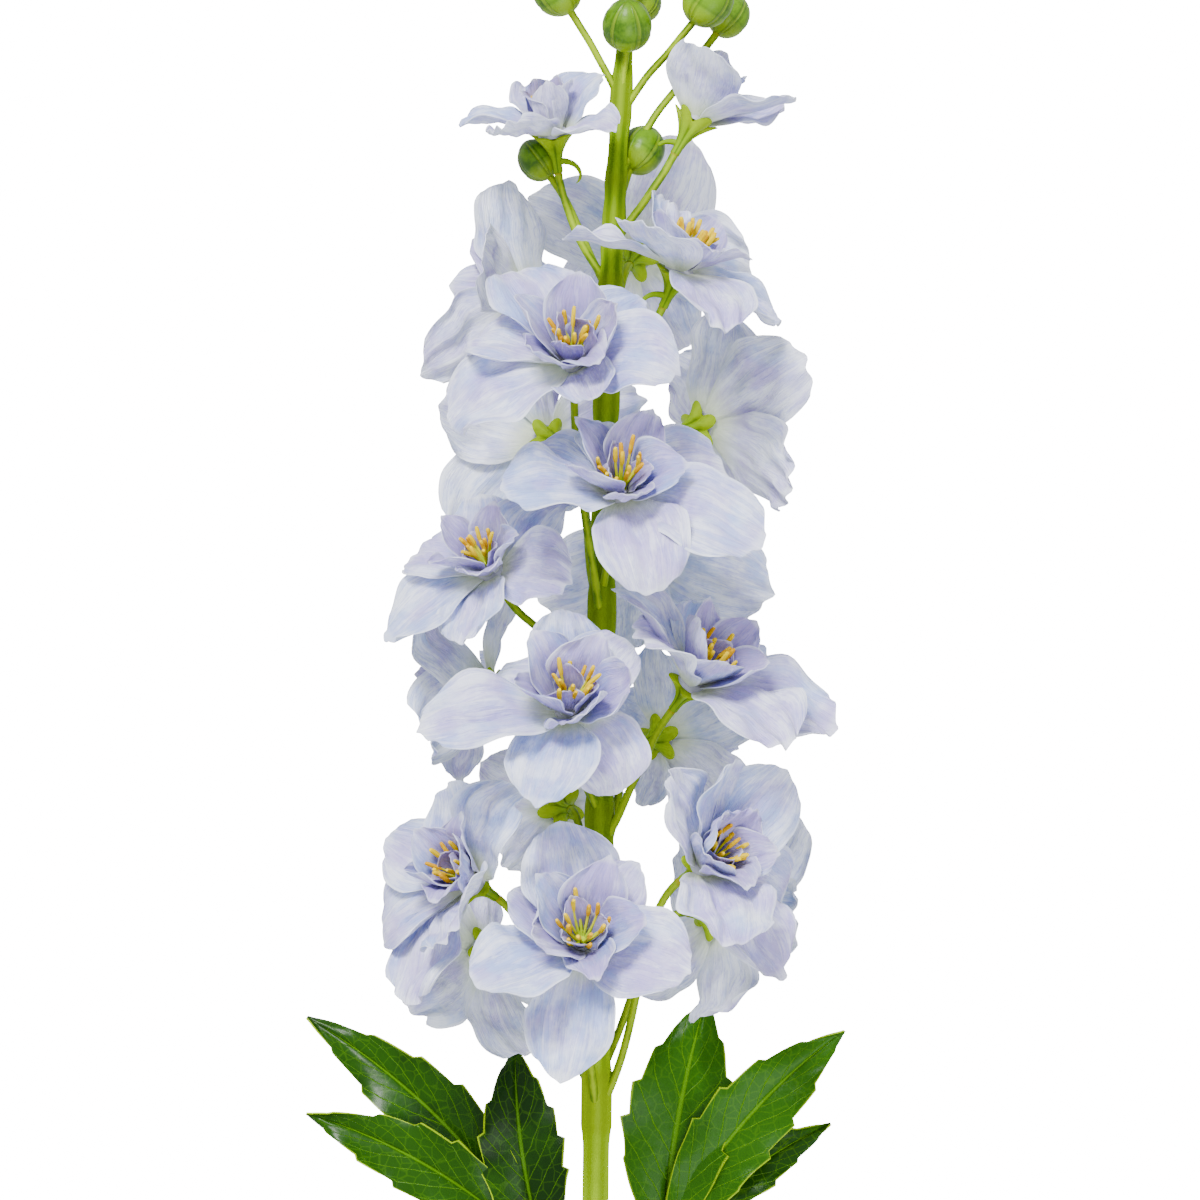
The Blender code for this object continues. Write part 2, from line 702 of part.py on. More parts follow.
def lobe_solid(name, base, lobe):
    """One lobe of a leaf: a long blade with teeth, folded a little along its midrib."""
    bearing = math.radians(lobe.bearing)
    out = Vector((math.cos(bearing), math.sin(bearing), 0))
    side = Vector((-out.y, out.x, 0))

    def points_at(across, up):
        broad = np.maximum(0.10, np.sin(math.pi * np.clip(up, 0, 1) ** 0.95) ** 1.1)
        row = np.round(up * LEAF_ROWS)
        tooth = np.where((row > 2) & (row < LEAF_ROWS), np.where(row % 2, 1.08, 0.92), 1)
        half = lobe.width * across * np.where(row == LEAF_ROWS, 0.05, broad * tooth)
        bowed = half + lobe.bow * lobe.length * 4 * up * (1 - up)
        rise = lobe.rise * up**1.5 + LEAF_ARCH * np.sin(math.pi * up) + LEAF_FOLD * np.abs(half)
        run = lobe.length * up
        flat = np.array(base) + run[:, None] * np.array(out) + bowed[:, None] * np.array(side)
        return flat + rise[:, None] * np.array((0, 0, 1))

    return blade(name, points_at, 2, LEAF_ROWS, LEAF_THICKNESS)


def build_leaf(name, leaf, paint, into):
    """A leaf of three lobes on a short petiole that ends beside the stem."""
    root = stem_point(leaf.along - 0.020)
    root.x += leaf.side * (STEM_RADIUS_LOW + SEAT_GAP + PETIOLE_RADIUS)
    base = Vector((leaf.base_x, leaf.along + 0.004, leaf.base_z))
    tip = base + Vector((0, 0.004, 0.0))
    controls = (root, root + Vector((0, 0.010, 0)), base - Vector((0, 0.008, 0)), tip)
    petiole = tube(name + "_petiole", controls, (PETIOLE_RADIUS, PETIOLE_RADIUS), 1, 5)
    lobes = [lobe_solid(f"{name}_{i}", base, lobe) for i, lobe in enumerate(leaf.lobes)]
    return joined(name, petiole, lobes, paint, into)


def main():
    clear_scene()
    spike = collection("delphinium_spike")
    green = material("stem_green", *GREEN)
    leaf_green = material("leaf_green", *LEAF_GREEN)
    blue = material("petal_blue", *PETAL_BLUE)
    yellow = material("stamen_yellow", *STAMEN_YELLOW)
    build_stem(green, spike)
    for name in BLOOMS:
        build_petals(name, blue, spike)
        build_stamens(name, yellow, spike)
    for name, leaf in LEAVES.items():
        build_leaf(name, leaf, leaf_green, spike)
    for obj in spike.objects:
        obj.data.transform(Matrix.Translation(-ORIGIN))


main()
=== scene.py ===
"""A delphinium flower spike, cut and laid on its side on a pale studio floor.

The stem, stalks, calyxes, buds, petals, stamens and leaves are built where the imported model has
them, each with its own procedural finish, and a camera looks straight down on the blooms.
"""

import logging
import math
import random
from collections.abc import Iterable
from dataclasses import dataclass, replace
from enum import Enum

import bpy
import numpy as np
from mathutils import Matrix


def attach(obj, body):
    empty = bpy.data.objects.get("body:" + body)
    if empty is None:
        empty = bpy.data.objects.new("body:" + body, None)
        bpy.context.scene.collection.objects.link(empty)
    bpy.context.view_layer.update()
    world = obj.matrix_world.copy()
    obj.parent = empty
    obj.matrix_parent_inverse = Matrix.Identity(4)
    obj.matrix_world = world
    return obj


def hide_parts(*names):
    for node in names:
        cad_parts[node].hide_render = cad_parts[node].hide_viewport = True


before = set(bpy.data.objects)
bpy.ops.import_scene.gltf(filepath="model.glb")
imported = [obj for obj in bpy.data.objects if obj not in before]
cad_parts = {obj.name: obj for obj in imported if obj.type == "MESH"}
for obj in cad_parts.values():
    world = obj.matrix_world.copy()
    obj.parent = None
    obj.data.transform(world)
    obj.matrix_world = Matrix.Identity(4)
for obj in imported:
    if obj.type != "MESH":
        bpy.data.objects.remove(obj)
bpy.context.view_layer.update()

Array = np.ndarray
Colour = tuple[float, float, float]
Face = tuple[int, ...]
Inputs = dict[str | int, object]
Socket = bpy.types.NodeSocket

log = logging.getLogger("delphinium")

# The spike is laid out from a point on the floor under its flowering part. The model's origin is
# this point, under the middle of the whole spike.
ORIGIN = np.array((-0.0076, -0.0328, 0.0001))
TO_TIP = np.array((0.0, 1.0, 0.0))
TO_SKY = np.array((0.0, 0.0, 1.0))
FULL_TURN = 2 * math.pi
SHARP_EDGE = math.radians(50)


class Slot(Enum):
    """The record's material slots."""

    STEM = "stem_green"
    LEAF = "leaf_green"
    PETAL = "petal_blue"
    STAMEN = "stamen_yellow"


class Level(Enum):
    """The whorls of a bloom, from its back to its middle."""

    OUTER = 0
    INNER = 1
    TUFT = 2


class Mark(Enum):
    """The numbers that a mesh keeps at each point for its finish to read."""

    UP = "up"
    ACROSS = "across"
    TONE = "tone"
    LAYER = "layer"
    UNDER = "under"


def paint(red: float, green: float, blue: float) -> Colour:
    """Turns a colour from screen steps of 0 to 255 into linear light.

    Args:
        red: The red step.
        green: The green step.
        blue: The blue step.

    Returns:
        The three linear values.
    """
    steps = np.array((red, green, blue)) / 255
    linear = np.where(steps <= 0.04045, steps / 12.92, ((steps + 0.055) / 1.055) ** 2.4)
    return tuple(float(value) for value in linear)


def outward(around: float) -> Array:
    """Gives the unit vector that points away from the stem at this angle round it."""
    return np.array((math.cos(math.radians(around)), 0.0, math.sin(math.radians(around))))


def unit(vector: Array) -> Array:
    """Scales vectors to a length of 1."""
    return vector / np.maximum(np.linalg.norm(vector, axis=-1, keepdims=True), 1e-12)


def corners(sides: int) -> Array:
    """Gives the angles of a section's corners."""
    return np.linspace(0, FULL_TURN, sides, endpoint=False)


def ripple(turns: Array) -> Array:
    """Gives the sine of this many whole turns."""
    return np.sin(FULL_TURN * turns)


def spokes(angle: Array, first: Array, second: Array) -> Array:
    """Gives a direction for each angle, from the first axis towards the second."""
    return np.cos(angle)[:, None] * first + np.sin(angle)[:, None] * second


def bezier(controls: Array, share: Array) -> Array:
    """Reads points from a cubic curve.

    Args:
        controls: The four control points, one in a row.
        share: How far along the curve each point lies, from 0 to 1.

    Returns:
        One row of x, y, z for each share.
    """
    t = np.asarray(share, float)[:, None]
    s = 1 - t
    a, b, c, d = controls
    return s**3 * a + 3 * s * s * t * b + 3 * s * t * t * c + t**3 * d


def eased(value: Array, low: float, high: float) -> Array:
    """Rises smoothly from 0 at low to 1 at high."""
    share = np.clip((value - low) / (high - low), 0, 1)
    return share * share * (3 - 2 * share)


def placed(name: str, data: bpy.types.ID) -> bpy.types.Object:
    """Puts a mesh, a light or a camera into the scene.

    Args:
        name: The object's name.
        data: What the object shows.

    Returns:
        The object.
    """
    made = bpy.data.objects.new(name, data)
    bpy.context.scene.collection.objects.link(made)
    return made


class Nodes:
    """A node tree, with one method through which every node is added."""

    def __init__(self, tree: bpy.types.NodeTree) -> None:
        """Takes over a tree and clears it."""
        self.tree = tree
        tree.nodes.clear()

    def node(
        self, kind: str, settings: Inputs | None = None, sockets: Inputs | None = None
    ) -> bpy.types.Node:
        """Adds a node.

        Args:
            kind: The node's type.
            settings: The node's options, which are set first.
            sockets: A value or a link for each input, by its name or number.

        Returns:
            The node.
        """
        made = self.tree.nodes.new(kind)
        for key, value in (settings or {}).items():
            setattr(made, key, value)
        for key, value in (sockets or {}).items():
            target = made.inputs[key]
            value = value.socket if isinstance(value, Value) else value
            if isinstance(value, Socket):
                self.tree.links.new(value, target)
            elif target.type == "RGBA":
                target.default_value = (*value, 1.0)
            else:
                target.default_value = value
        return made

    def value(
        self, kind: str, settings: Inputs, sockets: Inputs | None = None, output: str | int = 0
    ) -> "Value":
        """Adds a node and reads the number that one of its outputs gives."""
        return Value(self, self.node(kind, settings, sockets).outputs[output])

    def calc(self, operation: str, *values: "Value | float") -> "Value":
        """Works out one step of arithmetic on numbers."""
        return self.value("ShaderNodeMath", {"operation": operation}, dict(enumerate(values)))

    def marks(self, *wanted: Mark) -> "list[Value]":
        """Reads numbers that the mesh keeps at each point, one for each mark."""
        names = [{"attribute_type": "GEOMETRY", "attribute_name": mark.value} for mark in wanted]
        return [self.value("ShaderNodeAttribute", name, output="Fac") for name in names]

    def place(self) -> Socket:
        """Gives the point's own place on the object."""
        return self.node("ShaderNodeTexCoord").outputs["Object"]

    def vector(self, x: "Value | float", y: "Value | float", z: "Value | float" = 0.0) -> Socket:
        """Joins three numbers into a vector's socket."""
        return self.node("ShaderNodeCombineXYZ", None, {0: x, 1: y, 2: z}).outputs[0]

    def noise(self, at: Socket, scale: float, detail: float = 2.0, rough: float = 0.5) -> "Value":
        """Gives smooth random numbers round 0.5, read at a vector's place."""
        sockets = {"Vector": at, "Scale": scale, "Detail": detail, "Roughness": rough}
        return self.value("ShaderNodeTexNoise", {"noise_dimensions": "3D"}, sockets)

    def net(self, at: Socket, scale: float) -> "Value":
        """Gives how far a point is from the edge of its cell in a random net."""
        sockets = {"Vector": at, "Scale": scale}
        return self.value("ShaderNodeTexVoronoi", {"feature": "DISTANCE_TO_EDGE"}, sockets)

    def mixed(self, first: Colour, *others: "tuple[Colour | Socket, Value]") -> Socket:
        """Mixes colours in, one over the other.

        Args:
            first: The colour underneath.
            others: Each other colour, with its share, which varies over the surface.

        Returns:
            The mixed colour.
        """
        under = first
        for colour, share in others:
            sockets = {0: share, 6: under, 7: colour}
            under = self.node("ShaderNodeMix", {"data_type": "RGBA"}, sockets).outputs[2]
        return under


@dataclass(frozen=True)
class Value:
    """A number from a node's output, which sums and products are written with."""

    nodes: Nodes
    socket: Socket

    def __add__(self, other: "Value | float") -> "Value":
        """Adds a number."""
        return self.nodes.calc("ADD", self, other)

    __radd__ = __add__

    def __sub__(self, other: "Value | float") -> "Value":
        """Takes a number away."""
        return self.nodes.calc("SUBTRACT", self, other)

    def __rsub__(self, other: float) -> "Value":
        """Takes this away from a number."""
        return self.nodes.calc("SUBTRACT", other, self)

    def __mul__(self, other: "Value | float") -> "Value":
        """Multiplies by a number."""
        return self.nodes.calc("MULTIPLY", self, other)

    __rmul__ = __mul__

    def __abs__(self) -> "Value":
        """Drops the sign."""
        return self.nodes.calc("ABSOLUTE", self)

    def rise(self, low: float, high: float) -> "Value":
        """Rises smoothly from 0 where this is low to 1 where it is high."""
        sockets = {"Value": self, "From Min": low, "From Max": high}
        return self.nodes.value("ShaderNodeMapRange", {"interpolation_type": "SMOOTHSTEP"}, sockets)

    def fall(self, low: float, high: float) -> "Value":
        """Falls smoothly from 1 where this is low to 0 where it is high."""
        return 1.0 - self.rise(low, high)

    def fract(self) -> "Value":
        """Keeps what is past the last whole number."""
        return self.nodes.calc("FRACT", self)

    def at_most(self, other: "Value | float") -> "Value":
        """Keeps the smaller of the two."""
        return self.nodes.calc("MINIMUM", self, other)

    def at_least(self, other: "Value | float") -> "Value":
        """Keeps the larger of the two."""
        return self.nodes.calc("MAXIMUM", self, other)


@dataclass(frozen=True)
class Surface:
    """What varies over a finish: its colour, its roughness and the height of its relief."""

    colour: Socket
    roughness: Value
    height: Value


@dataclass(frozen=True)
class Finish:
    """A finish that is written in nodes and made into one material."""

    name: str
    bump: float = 0.4
    depth: float = 0.0003
    gloss: float = 0.5

    def surface(self, nodes: Nodes) -> Surface:
        """Writes what varies over the finish."""
        raise NotImplementedError

    def fixed(self) -> dict[str, object]:
        """Lists the shader's other settings, which are the same all over."""
        return {}

    def material(self) -> bpy.types.Material:
        """Makes the material.

        Returns:
            The material, with its whole tree.
        """
        made = bpy.data.materials.new(self.name)
        made.use_nodes = True
        nodes = Nodes(made.node_tree)
        surface = self.surface(nodes)
        relief = {"Strength": self.bump, "Distance": self.depth, "Height": surface.height}
        sockets = {
            "Base Color": surface.colour,
            "Roughness": surface.roughness,
            "Normal": nodes.node("ShaderNodeBump", None, relief).outputs["Normal"],
            "Specular IOR Level": self.gloss,
            **self.fixed(),
        }
        shader = nodes.node("ShaderNodeBsdfPrincipled", None, sockets)
        nodes.node("ShaderNodeOutputMaterial", None, {"Surface": shader.outputs[0]})
        return made


@dataclass(frozen=True)
class PetalFinish(Finish):
    """Soft petal cloth: sky and lavender washes, fine long veins and a paler rim."""

    name: str = "petal_wash"
    bump: float = 0.75
    depth: float = 0.0011
    gloss: float = 0.14
    sky: Colour = paint(114, 149, 220)
    lavender: Colour = paint(157, 134, 206)
    pale: Colour = paint(240, 244, 255)
    root: Colour = paint(222, 232, 192)
    throat_and_shade: Colour = paint(88, 80, 158)
    vein: Colour = paint(112, 116, 200)

    def fixed(self) -> dict[str, object]:
        """Lists how light passes into the petal and off its nap."""
        inside = {"Subsurface Weight": 0.22, "Subsurface Radius": (1.0, 0.9, 1.1)}
        return inside | {"Subsurface Scale": 0.0010, "Sheen Weight": 0.04}

    def surface(self, nodes: Nodes) -> Surface:
        """Writes the washes, the veins, the throat, the painted shade in the cup and the rim.

        Args:
            nodes: The tree to write in.

        Returns:
            The petal's surface.
        """
        up, across, tone, layer, under = nodes.marks(*Mark)
        place = nodes.place()
        wash = nodes.noise(place, 70.0, 3.0)
        cloud = nodes.noise(place, 85.0, 4.0, 0.6)
        long_way = nodes.vector(across * 8.0 + tone * 40.0, up * 2.2, tone * 9.0)
        fan = nodes.noise(long_way, 1.0, 4.0, 0.6)
        fine_way = nodes.vector(across * 55.0 + tone * 70.0, up * 5.0, tone * 5.0)
        fine = nodes.noise(fine_way, 1.0, 2.0)
        middle = 1.0 - abs(across)
        blush = 0.7 * wash + 0.3 * fan + 0.10 * tone + 0.16 * layer + 0.08 * middle
        streak = 0.66 * cloud + 0.34 * fan + 0.06 * under - 0.05 * layer - 0.04 * middle
        pale = 0.28 + 0.62 * streak.rise(0.37, 0.64) + 0.04 * under
        veins = abs(fan - 0.5).fall(0.0, 0.05)
        # Darker towards each inner face's root: partly its own violet, partly painted shade in the
        # cup.
        inside = (0.16 + 1.2 * layer).at_most(0.9) * (1.0 - under)
        base = (up + 0.12 * (fine - 0.5)).fall(0.06, 0.34)
        rim = abs(across).rise(0.90, 1.0).at_least(up.rise(0.93, 1.0))
        colour = nodes.mixed(
            self.sky,
            (self.lavender, blush.rise(0.40, 0.66)),
            (self.pale, pale.at_most(0.92) * (1.0 - 0.50 * layer)),
            (self.vein, 0.22 * fine.rise(0.48, 0.72)),
            (self.vein, 0.30 * veins * up.rise(0.1, 0.5)),
            (self.throat_and_shade, 0.80 * inside * up.fall(0.10, 1.0)),
            (self.root, 0.80 * base * (1.0 - 0.5 * layer)),
            (self.pale, 0.50 * rim),
        )
        height = 0.6 * fan + 0.45 * fine + 0.30 * cloud
        return Surface(colour, 0.46 + 0.18 * cloud, height)


@dataclass(frozen=True)
class StemFinish(Finish):
    """Green stem skin: ridges and grooves with painted light and shade, and long fine fibres."""

    name: str = "stem_skin"
    bump: float = 0.5
    depth: float = 0.0004
    gloss: float = 0.04
    green: Colour = paint(116, 150, 0)
    ridge: Colour = paint(154, 188, 0)
    shade_and_mottle: Colour = paint(74, 106, 0)
    joint: Colour = paint(112, 132, 4)
    pith: Colour = paint(206, 214, 160)

    def surface(self, nodes: Nodes) -> Surface:
        """Writes the painted light and shade, the fibres and the cut end's pith.

        Args:
            nodes: The tree to write in.

        Returns:
            The stem's surface.
        """
        up, across, tone, layer = nodes.marks(Mark.UP, Mark.ACROSS, Mark.TONE, Mark.LAYER)
        mottle = nodes.noise(nodes.place(), 90.0, 4.0, 0.6)
        fibre = nodes.noise(nodes.vector(tone * 60.0, up * 18.0), 1.0, 4.0, 0.6)
        # Painted shadow of the blooms on the stem, half as strong near the tip.
        painted_bloom_shadow = up.rise(-5.2, -3.6) * (1.0 - 0.5 * up.rise(1.0, 3.4))
        colour = nodes.mixed(
            self.green,
            # Painted highlight on each ridge and painted shade in each groove.
            (self.ridge, 0.5 * across.rise(0.15, 0.95)),
            (self.shade_and_mottle, 0.8 * (0.0 - across).rise(0.0, 0.8)),
            (self.shade_and_mottle, 0.35 * mottle.rise(0.50, 0.72)),
            (self.ridge, 0.30 * fibre.rise(0.55, 0.75)),
            (self.shade_and_mottle, 0.50 * painted_bloom_shadow),
            (self.ridge, 0.40 * up.fall(-5.8, -4.6)),
            (self.joint, 0.45 * layer.rise(0.2, 0.8)),
            (self.pith, layer.rise(1.4, 1.8)),
        )
        return Surface(colour, 0.36 + 0.25 * mottle, 0.7 * fibre + 0.4 * mottle)


@dataclass(frozen=True)
class StalkFinish(Finish):
    """Yellow-green stalk with painted light and shade, darker at its root, browner under the bloom.
    """

    name: str = "stalk_skin"
    gloss: float = 0.10
    green: Colour = paint(128, 158, 0)
    dark: Colour = paint(74, 108, 0)
    light: Colour = paint(162, 184, 4)
    collar: Colour = paint(150, 124, 22)

    def surface(self, nodes: Nodes) -> Surface:
        """Writes the painted light and shade, and the colours from the root to the collar.

        Args:
            nodes: The tree to write in.

        Returns:
            The stalk's surface.
        """
        up, across, tone = nodes.marks(Mark.UP, Mark.ACROSS, Mark.TONE)
        mottle = nodes.noise(nodes.place(), 140.0, 4.0, 0.6)
        fibre = nodes.noise(nodes.vector(across * 3.0, up * 22.0, tone * 20.0), 1.0, 3.0, 0.6)
        collar = up.rise(0.955, 0.985) * up.fall(0.992, 1.0)
        colour = nodes.mixed(
            self.green,
            (self.dark, (mottle + 0.15 * tone).rise(0.45, 0.75)),
            # Painted highlight along the stalk's top and underside and painted shade along its
            # flanks.
            (self.light, 0.6 * across.rise(0.2, 1.0)),
            (self.dark, 0.5 * (0.0 - across).rise(0.2, 1.0)),
            (self.collar, 0.7 * collar),
            (self.dark, 0.5 * up.fall(0.0, 0.08)),
        )
        return Surface(colour, 0.38 + 0.2 * mottle, fibre + 0.5 * mottle)


@dataclass(frozen=True)
class CalyxFinish(Finish):
    """Bright green calyx: painted shade along its neck's folds, yellower on the round lobes."""

    name: str = "calyx_skin"
    gloss: float = 0.06
    lobe: Colour = paint(140, 168, 0)
    neck: Colour = paint(116, 150, 0)
    dark: Colour = paint(50, 84, 0)

    def surface(self, nodes: Nodes) -> Surface:
        """Writes the painted shade in the folds, and the lobes.

        Args:
            nodes: The tree to write in.

        Returns:
            The calyx's surface.
        """
        up, across, tone = nodes.marks(Mark.UP, Mark.ACROSS, Mark.TONE)
        mottle = nodes.noise(nodes.place(), 200.0, 4.0, 0.6)
        # Painted shade in the folds of the neck, under the notches between the lobes.
        fold = (0.0 - across).rise(0.1, 1.0) * up.fall(0.7, 1.0)
        colour = nodes.mixed(
            self.neck,
            (self.lobe, (up + 0.2 * tone).rise(0.45, 0.95)),
            (self.dark, 0.7 * fold),
            (self.dark, 0.35 * mottle.rise(0.50, 0.75)),
        )
        return Surface(colour, 0.36 + 0.2 * mottle, mottle + 0.4 * across)


@dataclass(frozen=True)
class BudFinish(Finish):
    """Closed bud: mottled green, pale seams, painted shade in dents and crease, a lighter foot."""

    name: str = "bud_skin"
    bump: float = 0.6
    depth: float = 0.0005
    gloss: float = 0.22
    green: Colour = paint(88, 128, 0)
    light: Colour = paint(136, 166, 0)
    dark: Colour = paint(46, 82, 0)
    seam: Colour = paint(158, 182, 30)

    def surface(self, nodes: Nodes) -> Surface:
        """Writes the foot, the seams, and the painted shade in the dents and the crease.

        Args:
            nodes: The tree to write in.

        Returns:
            The bud's surface.
        """
        up, across, tone = nodes.marks(Mark.UP, Mark.ACROSS, Mark.TONE)
        mottle = nodes.noise(nodes.place(), 170.0, 5.0, 0.6)
        # Painted shade in the dents beside the seams.
        beside = abs(across + 0.86).fall(0.0, 0.50)
        seam = abs(across + 0.96).fall(0.0, 0.14)
        colour = nodes.mixed(
            self.green,
            (self.dark, (mottle + 0.1 * tone).rise(0.42, 0.7)),
            (self.light, 0.8 * (up + 0.2 * (mottle - 0.5)).fall(0.14, 0.50)),
            (self.dark, 0.5 * beside),
            (self.seam, 0.30 * seam),
            # Painted shade in the crease round the middle.
            (self.dark, 0.35 * abs(up - 0.44).fall(0.0, 0.05)),
        )
        return Surface(colour, 0.26 + 0.2 * mottle, mottle - 0.8 * beside + 0.6 * seam)


@dataclass(frozen=True)
class LeafFinish(Finish):
    """Glossy leaf: deep green between a net of paler veins, with a yellow-green rim."""

    name: str = "leaf_blade_light"
    bump: float = 0.9
    depth: float = 0.0010
    gloss: float = 0.11
    green: Colour = paint(40, 90, 0)
    deep: Colour = paint(20, 58, 0)
    vein: Colour = paint(104, 158, 0)
    rim: Colour = paint(150, 184, 0)
    back: Colour = paint(84, 132, 36)

    def surface(self, nodes: Nodes) -> Surface:
        """Writes the midrib, the side veins, the fine net and the rim.

        Args:
            nodes: The tree to write in.

        Returns:
            The leaf's surface.
        """
        up, across, tone, layer, under = nodes.marks(*Mark)
        place = nodes.place()
        wash = nodes.noise(place, 45.0, 4.0, 0.6)
        bend = nodes.noise(place, 130.0, 2.0)
        side = abs((up * 9.0 - abs(across) * 2.6 + 0.35 * bend).fract() - 0.5)
        side = side.fall(0.0, 0.055) * abs(across).rise(0.0, 0.08)
        rib = abs(across).fall(0.02, 0.07)
        colour = nodes.mixed(
            self.green,
            (self.deep, (wash + 0.2 * tone).rise(0.4, 0.66)),
            (self.vein, 0.15 * nodes.net(place, 260.0).fall(0.0, 0.07)),
            (self.vein, 0.55 * side.at_least(rib)),
            (self.back, 0.7 * under),
            (self.rim, 0.9 * abs(across).rise(0.955, 0.995)),
            (self.vein, layer.rise(0.5, 1.0)),
        )
        return Surface(colour, 0.16 + 0.26 * wash, 0.6 * wash - 0.15 * side - 0.3 * rib)


@dataclass(frozen=True)
class StamenFinish(Finish):
    """Yellow-green filaments that end in grainy orange-yellow anthers."""

    name: str = "stamen_tuft"
    bump: float = 0.6
    gloss: float = 0.05
    filament: Colour = paint(216, 214, 40)
    base: Colour = paint(160, 184, 10)
    anther: Colour = paint(228, 196, 0)
    deep: Colour = paint(206, 152, 0)
    dust: Colour = paint(244, 208, 0)

    def surface(self, nodes: Nodes) -> Surface:
        """Writes the change from filament to anther, and the anther's grain.

        Args:
            nodes: The tree to write in.

        Returns:
            The stamens' surface.
        """
        up, tone = nodes.marks(Mark.UP, Mark.TONE)
        place = nodes.place()
        grain = nodes.noise(place, 1900.0, 3.0, 0.7)
        wash = nodes.noise(place, 420.0, 3.0)
        tip = up.rise(0.55, 0.63)
        head = nodes.mixed(
            self.anther,
            (self.deep, (wash + 0.3 * tone).rise(0.46, 0.75)),
            (self.dust, 0.6 * grain.rise(0.55, 0.75)),
        )
        filament = (self.filament, up.rise(0.05, 0.5))
        colour = nodes.mixed(self.base, filament, (head, tip))
        return Surface(colour, 0.5 + 0.25 * grain, grain * tip + 0.3 * wash)


@dataclass(frozen=True)
class FloorFinish(Finish):
    """White studio paper that glows evenly."""

    name: str = "studio_paper"
    bump: float = 0.05
    depth: float = 0.0002
    white: Colour = paint(246, 247, 249)
    shade: Colour = paint(240, 241, 244)
    glow: float = 16.0

    def fixed(self) -> dict[str, object]:
        """Lists the paper's even glow."""
        return {"Emission Color": (1.0, 1.0, 1.0), "Emission Strength": self.glow}

    def surface(self, nodes: Nodes) -> Surface:
        """Writes the paper's faint grain.

        Args:
            nodes: The tree to write in.

        Returns:
            The paper's surface.
        """
        grain = nodes.noise(nodes.place(), 400.0, 3.0)
        colour = nodes.mixed(self.white, (self.shade, grain))
        return Surface(colour, 0.85 + 0.1 * grain, grain)


